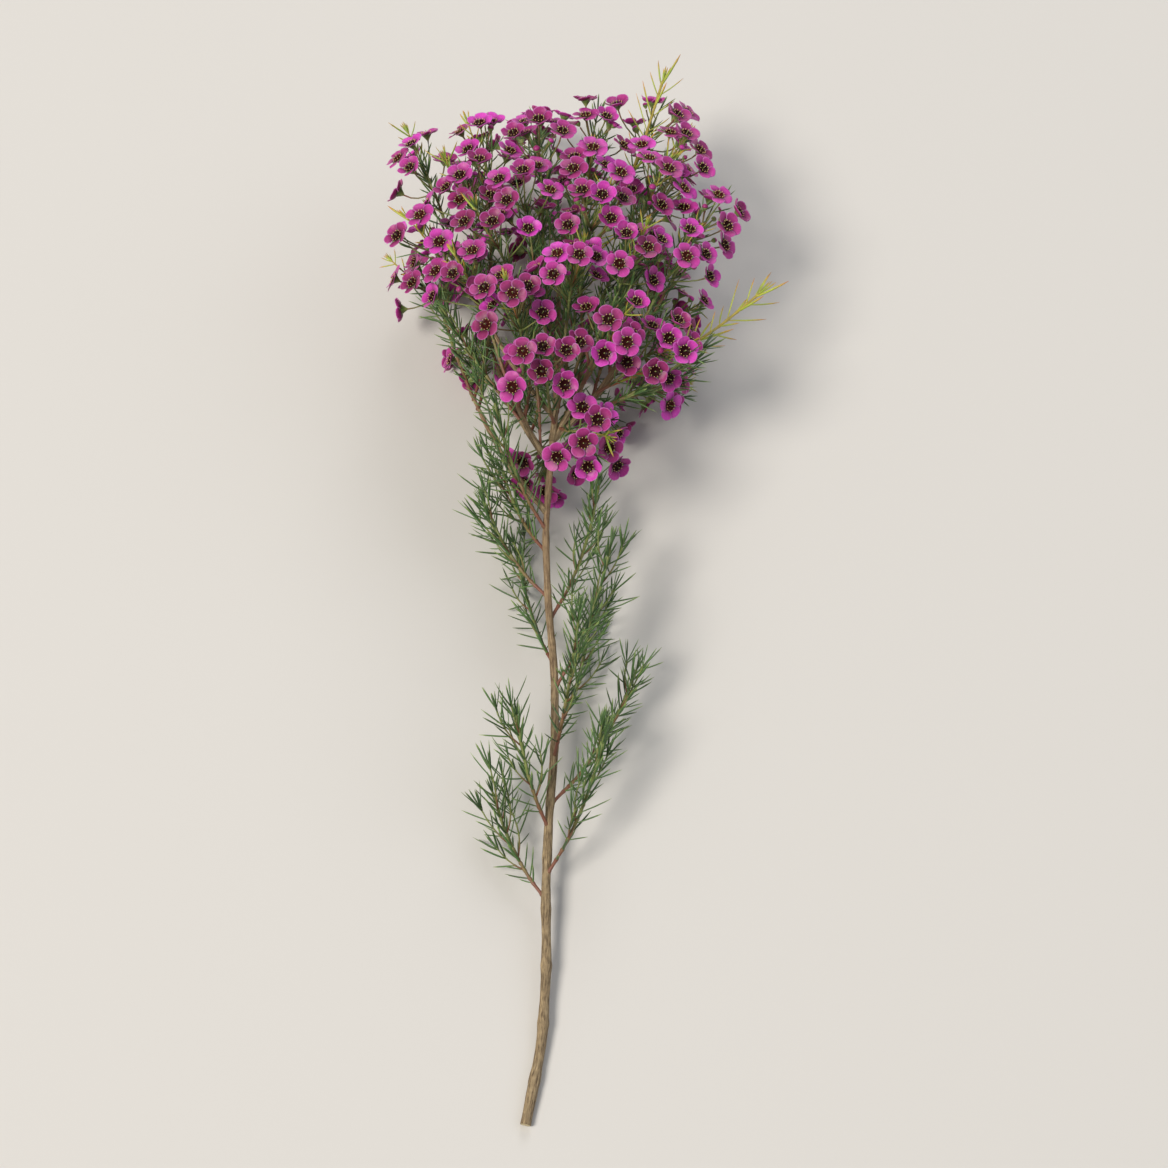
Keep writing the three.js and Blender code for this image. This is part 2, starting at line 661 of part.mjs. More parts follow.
// A closed surface that is grown: rings of points joined by bands of triangles, and single triangles
// drawn out into needles and pedicels, so that all of a spray or shoot is one body.
class Skin {
  constructor() {
    this.points = [];
    this.faces = [];
  }

  point(at) {
    this.points.push(at);
    return this.points.length - 1;
  }

  ring({ at, u, v }, radius, count, turn = 0) {
    return Array.from({ length: count }, (_, i) => {
      const angle = turn + (i * 2 * Math.PI) / count;
      return this.point(at.clone()
        .addScaledVector(u, Math.cos(angle) * radius)
        .addScaledVector(v, Math.sin(angle) * radius));
    });
  }

  face(...corners) {
    this.faces.push(corners);
    return corners;
  }

  middleOf(face) {
    return face.reduce((sum, corner) => sum.add(this.points[corner]), new THREE.Vector3()).divideScalar(3);
  }

  // Two triangles for each side between rings of one size. Returns the ones that stand on the lower ring.
  band(lower, upper) {
    return lower.map((corner, i) => {
      const next = (i + 1) % lower.length;
      this.face(corner, upper[next], upper[i]);
      return this.face(corner, lower[next], upper[next]);
    });
  }

  // Puts a cone in a face's place.
  spike(face, tip) {
    const top = this.point(tip);
    this.drop(face);
    face.forEach((corner, i) => this.face(corner, face[(i + 1) % 3], top));
  }

  // Puts walls in a face's place, up to a ring of three points.
  drawOut(face, ring) {
    this.drop(face);
    face.forEach((corner, i) => {
      const next = (i + 1) % 3;
      this.face(corner, face[next], ring[next]);
      this.face(corner, ring[next], ring[i]);
    });
  }

  drop(face) {
    this.faces.splice(this.faces.indexOf(face), 1);
  }

  geometry() {
    const geometry = new THREE.BufferGeometry();
    const values = this.points.flatMap((point) => point.toArray());
    geometry.setAttribute('position', new THREE.Float32BufferAttribute(values, 3));
    geometry.setIndex(this.faces.flat());
    return geometry;
  }
}

// Triangles between two rings that start at about the same turn and may differ in number.
function flare(skin, lower, upper) {
  let i = 0;
  let j = 0;
  while (i < lower.length || j < upper.length) {
    const a = lower[i % lower.length];
    const b = upper[j % upper.length];
    const lowerIsNext = (i + 0.5) / lower.length <= (j + 0.5) / upper.length;
    if (j === upper.length || (i < lower.length && lowerIsNext)) {
      i++;
      skin.face(a, lower[i % lower.length], b);
    } else {
      j++;
      skin.face(a, upper[j % upper.length], b);
    }
  }
}

// A waxflower drawn out of a face of its twig: a three-sided pedicel, an obconical cup, and five blunt
// petals that are thick at the cup and thin out to their ends, with a notch between each two.
function addFlower(skin, face, { neck, centre, axis, radius, open, spin }) {
  const [u, v] = across(axis);
  const level = (height) => ({ at: centre.clone().addScaledVector(axis, height), u, v });
  const reach = radius * lerp(CUPPED_REACH, 1, open);
  const rise = level(lerp(...PETAL_RISE, open));
  const corner = skin.points[face[0]].clone().sub(skin.middleOf(face));
  const turn = Math.atan2(corner.dot(v), corner.dot(u));
  const collar = skin.ring({ at: neck, u, v }, PEDICEL_RADIUS, 3, turn);
  skin.drawOut(face, collar);
  const notches = skin.ring(level(0), CUP_RADIUS, PETALS, spin - PETAL_STEP / 2);
  const left = skin.ring(rise, reach, PETALS, spin - PETAL_HALF_ANGLE);
  const right = skin.ring(rise, reach, PETALS, spin + PETAL_HALF_ANGLE);
  const middle = skin.point(level(CUP_CROWN).at);
  const first = Math.round((turn - spin) / PETAL_STEP + 0.5 + PETALS) % PETALS;
  flare(skin, collar, [...notches.slice(first), ...notches.slice(0, first)]);
  notches.forEach((notch, i) => {
    const next = notches[(i + 1) % PETALS];
    skin.face(notch, next, right[i]);
    skin.face(notch, right[i], left[i]);
    skin.face(middle, notch, left[i]);
    skin.face(middle, left[i], right[i]);
    skin.face(middle, right[i], next);
  });
}

// A four-sided twig with a low band at each node, out of whose sides its needles and flowers are drawn.
function twigGeometry(twig, needles, flowers = []) {
  const skin = new Skin();
  const length = lengthOf(twig.line);
  const ringAt = (t, turn = 0) => {
    return skin.ring(frameAt(twig.line, t), lerp(twig.from, twig.to, t), TWIG_SIDES, turn);
  };
  const base = ringAt(0);
  const heading = twig.line[1].clone().sub(twig.line[0]).normalize();
  for (const corner of base) {
    const height = skin.points[corner].clone().sub(twig.line[0]).dot(twig.plane);
    skin.points[corner].addScaledVector(heading, -height / heading.dot(twig.plane));
  }
  skin.face(base[0], base[2], base[1]);
  skin.face(base[0], base[3], base[2]);
  const flowerNode = 1 - FLOWER_NODE / length;
  const nodes = [...new Set(needles.map((needle) => needle.t))];
  if (flowers.length) {
    nodes.push(flowerNode);
  }
  let last = base;
  for (const t of nodes) {
    const lower = ringAt(t - NODE_HEIGHT / 2 / length);
    const upper = ringAt(t + NODE_HEIGHT / 2 / length);
    skin.band(last, lower);
    const sides = skin.band(lower, upper);
    needles.filter((needle) => needle.t === t).forEach(({ side, tip }) => skin.spike(sides[side], tip));
    if (t === flowerNode) {
      const outer = flowers.filter(({ slot }) => slot >= FLOWERS_PER_NODE);
      outer.forEach((flower) => addFlower(skin, sides[flower.slot % TWIG_SIDES], flower));
    }
    last = upper;
  }
  const crown = ringAt(1 - NODE_HEIGHT / length, -Math.PI / 4);
  skin.band(last, crown);
  const end = skin.point(along(twig.line, 1));
  const tips = crown.map((corner, i) => skin.face(corner, crown[(i + 1) % 4], end));
  const inner = flowers.filter(({ slot }) => slot < FLOWERS_PER_NODE);
  inner.forEach((flower) => addFlower(skin, tips[flower.slot], flower));
  return skin.geometry();
}

// ---- Nodes ----

function bark() {
  return new THREE.MeshStandardMaterial({ color: '#8f7c5c', roughness: 0.85, metalness: 0 });
}

function needleGreen() {
  return new THREE.MeshStandardMaterial({ color: '#3d5a35', roughness: 0.55, metalness: 0 });
}

function youngGreen() {
  return new THREE.MeshStandardMaterial({ color: '#9cb548', roughness: 0.5, metalness: 0 });
}

function petalMagenta() {
  return new THREE.MeshStandardMaterial({ color: '#b14a9a', roughness: 0.6, metalness: 0 });
}

function piece(name, geometry, material) {
  const mesh = new THREE.Mesh(geometry, material);
  mesh.name = name;
  return mesh;
}

const numbered = (word, i) => `${word}_${String(i + 1).padStart(2, '0')}`;

function build() {
  const { limbs, sprays, young, leafy } = grow();
  const stem = new THREE.Group();
  stem.add(piece('woody_stem', woodGeometry(limbs), bark()));
  sprays.forEach(({ twig, flowers, needles }, i) => {
    stem.add(piece(numbered('flower_spray', i), twigGeometry(twig, needles, flowers), petalMagenta()));
  });
  leafy.forEach(({ twig, needles }, i) => {
    stem.add(piece(numbered('leafy_shoot', i), twigGeometry(twig, needles), needleGreen()));
  });
  young.forEach(({ twig, needles }, i) => {
    stem.add(piece(numbered('young_shoot', i), twigGeometry(twig, needles), youngGreen()));
  });
  return stem;
}

export default build();
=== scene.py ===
"""A cut waxflower stem (Chamelaucium) lying on a pale floor, seen from above.

The stem is grown as a plan of lines and places in millimetres, the same plan as the solids', and each
piece is then modelled on its part of the plan: bark stem, flower sprays, leafy shoots and young shoots.
"""

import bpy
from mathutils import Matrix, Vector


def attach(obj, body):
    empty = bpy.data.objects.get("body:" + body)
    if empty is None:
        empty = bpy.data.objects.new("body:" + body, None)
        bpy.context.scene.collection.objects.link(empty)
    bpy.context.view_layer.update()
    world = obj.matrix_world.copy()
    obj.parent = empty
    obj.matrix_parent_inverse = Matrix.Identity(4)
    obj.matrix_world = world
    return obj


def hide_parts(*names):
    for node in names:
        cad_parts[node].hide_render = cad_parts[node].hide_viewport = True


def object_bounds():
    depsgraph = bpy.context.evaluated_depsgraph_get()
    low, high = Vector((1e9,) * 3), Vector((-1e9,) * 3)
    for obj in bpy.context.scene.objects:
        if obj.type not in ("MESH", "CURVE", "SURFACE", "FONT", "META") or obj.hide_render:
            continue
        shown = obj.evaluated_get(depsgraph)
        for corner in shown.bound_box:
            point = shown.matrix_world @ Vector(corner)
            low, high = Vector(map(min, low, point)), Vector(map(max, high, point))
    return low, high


bl_info = {
    "name": "Waxflower Stem",
    "version": (1, 0, 0),
    "blender": (4, 5, 0),
    "location": "View3D > Sidebar > Waxflower",
    "description": "Grows a cut waxflower stem with bark, needles and flower sprays",
    "category": "Add Mesh",
}

import math
from functools import partial

import bmesh
import bpy
import numpy as np
from mathutils import Matrix, Vector

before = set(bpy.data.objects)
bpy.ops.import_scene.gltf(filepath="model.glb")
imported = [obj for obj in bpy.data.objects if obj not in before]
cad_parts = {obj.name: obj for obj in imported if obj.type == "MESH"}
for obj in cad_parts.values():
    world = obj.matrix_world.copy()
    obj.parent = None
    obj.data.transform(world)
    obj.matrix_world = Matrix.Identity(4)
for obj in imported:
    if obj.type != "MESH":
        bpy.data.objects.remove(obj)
CAD_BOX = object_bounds()

MM = 0.001
TAU = 2 * math.pi
QUARTER_TURN = math.pi / 2
EIGHTH_TURN = math.pi / 4

# ---- The plan's dimensions, in millimetres ----

SEED = 41
STREAMS = {"place": 100, "spray": 1000, "young": 4000, "leafy": 5000}
OWNERS = {"leafy": 100, "young": 200}  # who takes space: 0 the wood, 1 and up the sprays, then the shoots
STEM_LINE = [(-28, -279, 2.4), (-2, -119, 4), (-30, 1, 44), (-10, 171, 60)]
STEM_STEPS = 12
STEM_SWAY = 2.2
SWAY_WAVES = (17, 13)  # radians of sway from end to end, across and in height
SWAY_IN_HEIGHT = 0.4  # as a share of the sway across
STEM_BASE_RADIUS = 2.7
STEM_TIP_RADIUS = 1.2

HEAD_CENTRE = np.array([-14.0, 146.0, 51.0])
HEAD_HALF = np.array([72.0, 90.0, 38.0])
SPRAY_COUNT = 43
UPPER_SPRAYS = 25
LOWER_DEPTH = 0.85
STRAY = 5
TOP_SPRAYS = 5
HEAD_FLATTENED = 2.2
HEAD_TAPER = 0.22
TAPER_MIDDLE = 0.2
LAYER_TURN = 1
DOME_DROP = 0.8  # share of the dome's squared height that is lost at the head's rim
DOME_HEIGHTS = (0.75, 1.05)
BRANCH_COUNT = 9
BRANCH_RADIUS = 1.45
BRANCH_STEPS = 6
BRANCH_WOOD_STEPS = 4
FORK_ANGLE = 0.55
FORK_CHOICES = 24
FORK_REACH_COST = 0.0008  # radians of angle that a millimetre of twig counts for
BRANCH_FORKS = (0.25, 0.9)  # shares of the carrying limb between which these leave it
TWIG_FORKS = (0.15, 0.95)
TOP_FORKS = (0.7, 0.99)
HEADING_REACH = 0.04  # share of a line on each side of a point that gives its heading there
BEND_FORWARDS = 0.3
BEND_SIDEWAYS = 0.55
LEAST_LEAVING = 0.4

TWIG_RADIUS = 0.95
RACHIS_RADIUS = 0.75
RACHIS_LENGTH = 14
RACHIS_BEND = 0.4
RACHIS_OUTWARD = 0.5
TWIG_STEPS = 3
FLOWER_NODE = 8
INNER = ((0.38, 0.6), (14, 26))
OUTER = ((0.8, 1.15), (16, 28))
FLOWERS_PER_SPRAY = 8
FLOWERS_PER_NODE = 4
FLOWER_TRIES = 40
FLOWER_TURN = 0.35
FACING_OUT = 0.35
FACING_UP = (0.35, 1.1)

FLOWER_RADIUS = 7.9
FLOWER_SIZES = (0.9, 1.04)
CUP_HEIGHT = 3.6
CUP_RADIUS = 3
PETAL_RISE = (3, 0.5)
CUPPED_REACH = 0.84
PETALS = 5
PETAL_STEP = TAU / PETALS
CUP_BALL = 2.6
PETAL_BALL = 0.27
PETAL_BALL_REACH = 0.74
PETAL_BALL_TURN = 0.34
PETAL_BALL_RISE = (2.3, 0.6)
BARE_PEDICEL = 0.18
BARE_NEEDLE = 0.25

NODE_HEIGHT = 1.2
NEEDLE_TILT = (0.85, 0.6)
TILT_CHANGES = (0, 0.15, -0.1, 0.3, 0.45)
NEEDLE_LENGTHS = (0.8, 1.2)
SPRAY_NEEDLE_PAIRS = 3
SPRAY_NEEDLE_LENGTH = 12
SPRAY_NEEDLES_START = 7
SPRAY_NEEDLES_END = 5
SHOOT_COUNT = 17
SHOOT_LENGTH = 72
SHOOT_LENGTHS = (0.75, 1.2)
SHOOT_RADIUS = (0.95, 0.75)
SHOOT_NEEDLE_LENGTH = 14
SHOOT_NEEDLE_PAIRS = 5
SHOOT_NEEDLES_START = 0.16
SHOOT_BARE_NODES = 2.5
SHOOT_STEPS = 4
SHOOT_BEND = 0.45  # share of its length before it turns forwards, and how far it goes on from there
SHOOT_FORWARDS = 0.38
SHOOT_SIDEWAYS = 0.22
SHOOT_LIFT = 0.05
STEM_SHOOTS = (0.24, 0.68)
BRANCH_SHOOTS = (0.25, 0.6)
SHOOT_LEAN = (0.65, 0.85)
SHOOT_TRIES = 12
TRY_TURN = 0.53
YOUNG_SHOOTS = (
    {"limb": 0, "t": 0.93, "turn": 3.15, "lean": (0.58, 0.62), "length": 134},
    {"limb": 4, "t": 0.5, "turn": 5.25, "lean": (0.58, 0.62), "length": 95},
)
YOUNG_NEEDLE_LENGTH = 19

GAP = 0.3
CLEAR = 0.4
THIN = 0.85
OWN_THIN = 1.15
NEAR = 6.0  # more than any two balls' radii and the clearance together
BALL_SPACING = 1.6
HALVINGS = 20
GOLDEN_ANGLE = math.pi * (3 - math.sqrt(5))
UP = np.array([0.0, 0.0, 1.0])
WOOD = 0
NOBODY = -1


def stream(key):
    """Seeded draws (mulberry32), one stream for each thing that grows."""
    state = (SEED * 7919 + key * 104729) & 0xFFFFFFFF

    def draw(low=0.0, high=1.0):
        nonlocal state
        state = (state + 0x6D2B79F5) & 0xFFFFFFFF
        value = ((state ^ (state >> 15)) * (state | 1)) & 0xFFFFFFFF
        value ^= (value + (value ^ (value >> 7)) * (value | 61)) & 0xFFFFFFFF
        return low + (high - low) * ((value ^ (value >> 14)) / 4294967296)

    return draw


# ---- Lines ----

def point(*values):
    return np.array(values, dtype=float)


def mixed(a, b, t):
    return a + (b - a) * t


def size(vector):
    return math.sqrt(vector[0] ** 2 + vector[1] ** 2 + vector[2] ** 2)


def unit(vector):
    return vector / (size(vector) or 1)


def dot(a, b):
    return float(a[0] * b[0] + a[1] * b[1] + a[2] * b[2])


def cross(a, b):
    return point(a[1] * b[2] - a[2] * b[1], a[2] * b[0] - a[0] * b[2], a[0] * b[1] - a[1] * b[0])


def bezier(points, t):
    level = points
    while len(level) > 1:
        level = [mixed(a, b, t) for a, b in zip(level, level[1:])]
    return level[0]


def curve_points(points, steps):
    return [bezier(points, i / steps) for i in range(steps + 1)]


def length_of(line):
    return sum(size(b - a) for a, b in zip(line, line[1:]))


def find(line, t):
    """The point at a share of a line's length, and which step of the line it lies in."""
    left = min(max(t, 0), 1) * length_of(line)
    for i in range(len(line) - 1):
        step = size(line[i + 1] - line[i])
        if left <= step or i == len(line) - 2:
            return mixed(line[i], line[i + 1], min(left / step, 1)), i
        left -= step


def along(line, t):
    return find(line, t)[0]


def heading_at(line, t):
    return unit(along(line, t + HEADING_REACH) - along(line, t - HEADING_REACH))


def squared(vector, direction):
    """A vector turned just enough to stand square to a direction."""
    return unit(vector - direction * dot(vector, direction))


def across(direction):
    """Two unit vectors across a direction."""
    side = point(0, 1, 0) if abs(direction[1]) < 0.9 else UP
    u = unit(cross(side, direction))
    return u, cross(direction, u)


def frame_at(line, t):
    """The point, heading and two vectors across, carried along the line without twist."""
    at, step = find(line, t)
    u = across(unit(line[1] - line[0]))[0]
    for i in range(1, step + 1):
        u = squared(u, unit(line[i + 1] - line[i]))
    heading = heading_at(line, t)
    u = squared(u, heading)
    return at, heading, u, cross(heading, u)


def turned(frame_here, tilt, turn):
    """A direction tilted away from a frame's heading, at a turn round it."""
    _, heading, u, v = frame_here
    over, aside = math.sin(tilt) * math.cos(turn), math.sin(tilt) * math.sin(turn)
    return heading * math.cos(tilt) + u * over + v * aside


# ---- Space already taken ----

class Taken:
    """Balls that fill the space of everything grown so far."""

    def __init__(self, room=40000):
        self.at = np.zeros((room, 3))
        self.radius = np.zeros(room)
        self.thin = np.zeros(room, dtype=bool)
        self.owner = np.zeros(room, dtype=int)
        self.count = 0

    def take(self, balls, owner):
        for at, radius, thin, _ in balls:
            self.at[self.count] = at
            self.radius[self.count] = radius
            self.thin[self.count] = thin
            self.owner[self.count] = owner
            self.count += 1

    def is_clear(self, balls, owner):
        """Whether balls keep clear of the floor and of what is there. Rooted balls may touch the wood."""
        at = np.array([ball[0] for ball in balls])
        radius = np.array([ball[1] for ball in balls])
        if (at[:, 2] < radius).any():
            return False
        have = self.at[:self.count]
        near = np.flatnonzero(((have > at.min(0) - NEAR) & (have < at.max(0) + NEAR)).all(1))
        if not len(near):
            return True
        thin = np.array([ball[2] for ball in balls], dtype=bool)
        rooted = np.array([ball[3] for ball in balls], dtype=bool)
        distance = np.sqrt(((at[:, None] - have[near][None]) ** 2).sum(2))
        own = self.owner[near] == owner
        least = radius[:, None] + self.radius[near][None] + np.where(own, 0, CLEAR)[None]
        least = np.where(thin[:, None] & (self.thin[near] & own)[None], OWN_THIN, least)
        free = rooted[:, None] & (self.owner[near] == WOOD)[None]
        return not ((distance < least) & ~free).any()

    def claim(self, balls, owner):
        """Takes the space of balls if it is clear, and says whether it was."""
        clear = self.is_clear(balls, owner)
        if clear:
            self.take(balls, owner)
        return clear


def line_balls(a, b, radius=THIN):
    count = max(1, math.ceil(size(b - a) / BALL_SPACING))
    return [(mixed(a, b, i / count), radius, True, False) for i in range(count + 1)]


def tube_balls(limb):
    line = limb["line"]
    balls = []
    for i in range(len(line) - 1):
        radius = max(THIN, mixed(limb["from"], limb["to"], i / len(line)))
        balls += line_balls(line[i], line[i + 1], radius)
    return balls


def twig_balls(twig):
    return [(*ball[:3], i < 2) for i, ball in enumerate(tube_balls(twig))]


# ---- The woody plan ----

def stem_point(t):
    at = bezier([point(*p) for p in STEM_LINE], t)
    at[0] += STEM_SWAY * math.sin(t * SWAY_WAVES[0])
    at[2] += STEM_SWAY * SWAY_IN_HEIGHT * (1 - math.cos(t * SWAY_WAVES[1]))
    return at


def stem_at_y(y):
    low, high = 0, 1
    for _ in range(HALVINGS):
        middle = (low + high) / 2
        low, high = (middle, high) if stem_point(middle)[1] < y else (low, middle)
    return stem_point(low)


def spray_places():
    """Two layers of sprays, each a sunflower spiral seen from above, domed in height."""
    places = []
    for i in range(SPRAY_COUNT):
        draw = stream(STREAMS["place"] + i)
        upper = i < UPPER_SPRAYS
        rank = i if upper else i - UPPER_SPRAYS
        ring = math.sqrt((rank + 0.5) / (UPPER_SPRAYS if upper else SPRAY_COUNT - UPPER_SPRAYS))
        turn = rank * GOLDEN_ANGLE + (0 if upper else LAYER_TURN)
        width = 1 + HEAD_TAPER * (ring * math.sin(turn) - TAPER_MIDDLE)
        dome = math.sqrt(1 - DOME_DROP * ring * ring) * draw(*DOME_HEIGHTS)
        x = HEAD_CENTRE[0] + HEAD_HALF[0] * ring * math.cos(turn) * width + draw(-STRAY, STRAY)
        y = HEAD_CENTRE[1] + HEAD_HALF[1] * ring * math.sin(turn) + draw(-STRAY, STRAY)
        places.append(point(x, y, HEAD_CENTRE[2] + HEAD_HALF[2] * dome * (1 if upper else -LOWER_DEPTH)))
    return places


def from_stem(place):
    stem = stem_at_y(place[1])
    x, z = place[0] - stem[0], place[2] - stem[2]
    return math.hypot(x, z), math.atan2(z * HEAD_FLATTENED, x)


def forks_on(line, place, low, high):
    """The shares of a carrying line at which a twig could leave it, the most natural angle first."""
    forks = []
    for i in range(FORK_CHOICES):
        t = mixed(low, high, i / (FORK_CHOICES - 1))
        reach = place - along(line, t)
        bend = abs(math.acos(max(-1, min(1, dot(unit(reach), heading_at(line, t))))) - FORK_ANGLE)
        forks.append((bend + size(reach) * FORK_REACH_COST, t))
    return [t for _, t in sorted(forks, key=lambda fork: fork[0])]


def twig_line(line, t, place, steps):
    start = along(line, t)
    reach = place - start
    heading = heading_at(line, t)
    ahead = dot(reach, heading)
    bend = start + heading * (ahead * BEND_FORWARDS) + (reach - heading * ahead) * BEND_SIDEWAYS
    return curve_points([start, bend, place], steps)


def with_rachis(line):
    """A twig that goes on as the flowers' axis, bent away from the head's centre."""
    end = line[-1]
    heading = heading_at(line, 1)
    outward = unit((end - HEAD_CENTRE) / HEAD_HALF)
    axis = unit(heading + outward * RACHIS_OUTWARD)
    bend = end + heading * (RACHIS_LENGTH * RACHIS_BEND)
    tip = bend + axis * (RACHIS_LENGTH * (1 - RACHIS_BEND))
    return {"line": [*line, bend, tip], "from": TWIG_RADIUS, "to": RACHIS_RADIUS, "outward": outward}


def bark_plane(limb, t, line):
    heading = heading_at(limb["line"], t)
    way = line[1] - line[0]
    return unit(way - heading * dot(way, heading))


def from_bark(limb, t, line):
    way = unit(line[1] - line[0])
    reach = (mixed(limb["from"], limb["to"], t) + GAP) / dot(way, bark_plane(limb, t, line))
    return [line[0] + way * reach, *line[1:]]


def grow_wood(places):
    """The woody limbs, the branches' own green ends, and which limb carries each other spray."""
    stem_line = [stem_point(i / STEM_STEPS) for i in range(STEM_STEPS + 1)]
    stem = {"line": stem_line, "from": STEM_BASE_RADIUS, "to": STEM_TIP_RADIUS}
    limbs, ends, calls = [stem], [], []
    by_height = sorted(places, key=lambda place: -place[1])
    sides = [(*from_stem(place), place) for place in by_height[TOP_SPRAYS:]]
    sides.sort(key=lambda side: side[1])
    shares = [math.floor(i * len(sides) / BRANCH_COUNT + 0.5) for i in range(BRANCH_COUNT + 1)]
    for first, last in zip(shares, shares[1:]):
        group = [place for _, _, place in sorted(sides[first:last], key=lambda side: -side[0])]
        fork = forks_on(stem_line, group[0], *BRANCH_FORKS)[0]
        line = twig_line(stem_line, fork, group[0], BRANCH_STEPS)
        wood = line[:BRANCH_WOOD_STEPS + 1]
        branch = {"line": wood, "from": BRANCH_RADIUS, "to": TWIG_RADIUS}
        limbs.append(branch)
        green_root = wood[-1] + heading_at(wood, 1) * GAP
        ends.append(with_rachis([green_root, *line[BRANCH_WOOD_STEPS + 1:]]))
        calls += [(branch, place, *TWIG_FORKS) for place in group[1:]]
    calls += [(stem, place, *TOP_FORKS) for place in by_height[:TOP_SPRAYS]]
    return limbs, ends, calls


def grow_twig(taken, limb, place, low, high):
    for t in forks_on(limb["line"], place, low, high):
        line = twig_line(limb["line"], t, place, TWIG_STEPS)
        twig = with_rachis(from_bark(limb, t, line))
        leaving = dot(heading_at(line, 0), bark_plane(limb, t, line))
        if leaving > LEAST_LEAVING and taken.is_clear(twig_balls(twig), NOBODY):
            return twig
    return None


# ---- Flowers and needles of the plan ----

def flower_balls(flower):
    u, v = across(flower["axis"])
    radius, opening = flower["radius"], flower["open"]
    stalk = line_balls(mixed(flower["root"], flower["neck"], BARE_PEDICEL), flower["neck"])
    balls = [(flower["centre"], CUP_BALL, False, False), *stalk]
    distance = radius * PETAL_BALL_REACH * mixed(CUPPED_REACH, 1, opening)
    middle = flower["centre"] + flower["axis"] * mixed(*PETAL_BALL_RISE, opening)
    for i in range(2 * PETALS):
        angle = flower["spin"] + (i // 2) * PETAL_STEP + (PETAL_BALL_TURN if i % 2 else -PETAL_BALL_TURN)
        at = middle + u * (math.cos(angle) * distance) + v * (math.sin(angle) * distance)
        balls.append((at, radius * PETAL_BALL, False, False))
    return balls


def grow_flower(taken, spray, slot):
    draw, twig, owner = spray["draw"], spray["twig"], spray["owner"]
    inner = slot < FLOWERS_PER_NODE
    tilt, lengths = INNER if inner else OUTER
    t = 1 if inner else 1 - FLOWER_NODE / length_of(twig["line"])
    here = frame_at(twig["line"], t)
    for _ in range(FLOWER_TRIES):
        turn = slot * QUARTER_TURN + (0 if inner else EIGHTH_TURN) + draw(-FLOWER_TURN, FLOWER_TURN)
        way = turned(here, draw(*tilt), turn)
        centre = here[0] + way * draw(*lengths)
        axis = unit(way + twig["outward"] * FACING_OUT + UP * draw(*FACING_UP))
        flower = {
            "root": here[0], "neck": centre - axis * CUP_HEIGHT, "centre": centre, "axis": axis,
            "radius": FLOWER_RADIUS * draw(*FLOWER_SIZES), "open": draw(), "spin": draw(0, PETAL_STEP),
        }
        if taken.claim(flower_balls(flower), owner):
            spray["flowers"].append(flower)
            return


def try_needle(taken, twig, owner, t, tilt, side, length, radius=THIN):
    """A needle where there is room for it, in a list. Its side counts quarter turns round the twig."""
    here = frame_at(twig["line"], t)
    tip = here[0] + turned(here, tilt, EIGHTH_TURN + side * QUARTER_TURN) * length
    has_room = taken.claim(line_balls(mixed(here[0], tip, BARE_NEEDLE), tip, radius), owner)
    return [{"t": t, "root": here[0], "tip": tip, "heading": here[1]}] if has_room else []


def first_made(tries):
    """What the first try that finds room gives. The later ones aren't made."""
    return next((made for made in tries if made), [])


def grow_pairs(taken, shoot, pairs, start, stop, needle_length):
    twig, owner = shoot["twig"], shoot["owner"]
    for pair in range(pairs):
        t = mixed(start, stop, pair / (pairs - 1))
        for side in (pair, pair + 2):
            length = needle_length * shoot["draw"](*NEEDLE_LENGTHS)
            tilt = mixed(*NEEDLE_TILT, t)
            shoot["needles"] += first_made(
                try_needle(taken, twig, owner, t, tilt + change, side % 4, length)
                for change in TILT_CHANGES)


def new_shoot(taken, twig, owner, draw):
    """A twig that has found its room, and what it will carry."""
    taken.take(tube_balls(twig), owner)
    return {"owner": owner, "draw": draw, "twig": twig, "flowers": [], "needles": []}


def grow_twigs(taken, ends, calls):
    sprays = []

    def add(twig):
        owner = len(sprays) + 1
        sprays.append(new_shoot(taken, twig, owner, stream(STREAMS["spray"] + owner)))

    for twig in ends:
        add(twig)
    for call in calls:
        twig = grow_twig(taken, *call)
        if twig:
            add(twig)
    return sprays


def grow_sprays(taken, sprays):
    for slot in range(FLOWERS_PER_SPRAY):
        for spray in sprays:
            grow_flower(taken, spray, slot)
    for spray in sprays:
        length = length_of(spray["twig"]["line"])
        first, last = SPRAY_NEEDLES_START / length, 1 - (FLOWER_NODE + SPRAY_NEEDLES_END) / length
        grow_pairs(taken, spray, SPRAY_NEEDLE_PAIRS, first, last, SPRAY_NEEDLE_LENGTH)


def grow_shoot(taken, limb, call, owner, draw):
    line, t, length = limb["line"], call["t"], call["length"]
    base = along(line, t)
    heading = heading_at(line, t)
    here = (base, heading, *across(heading))
    for attempt in range(SHOOT_TRIES):
        way = turned(here, draw(*call["lean"]), call["turn"] + attempt * TRY_TURN)
        bend = base + way * (length * SHOOT_BEND)
        tip = bend + heading * (length * SHOOT_FORWARDS) + way * (length * SHOOT_SIDEWAYS)
        tip[2] += length * SHOOT_LIFT
        straight = curve_points([base, bend, tip], SHOOT_STEPS)
        twig = {"line": from_bark(limb, t, straight), "from": SHOOT_RADIUS[0], "to": SHOOT_RADIUS[1]}
        if taken.is_clear(twig_balls(twig), owner):
            return [new_shoot(taken, twig, owner, draw)]
    return []


def grow_shoot_needles(taken, shoots, needle_length):
    for shoot in shoots:
        last = 1 - (SHOOT_BARE_NODES * NODE_HEIGHT) / length_of(shoot["twig"]["line"])
        grow_pairs(taken, shoot, SHOOT_NEEDLE_PAIRS, SHOOT_NEEDLES_START, last, needle_length)


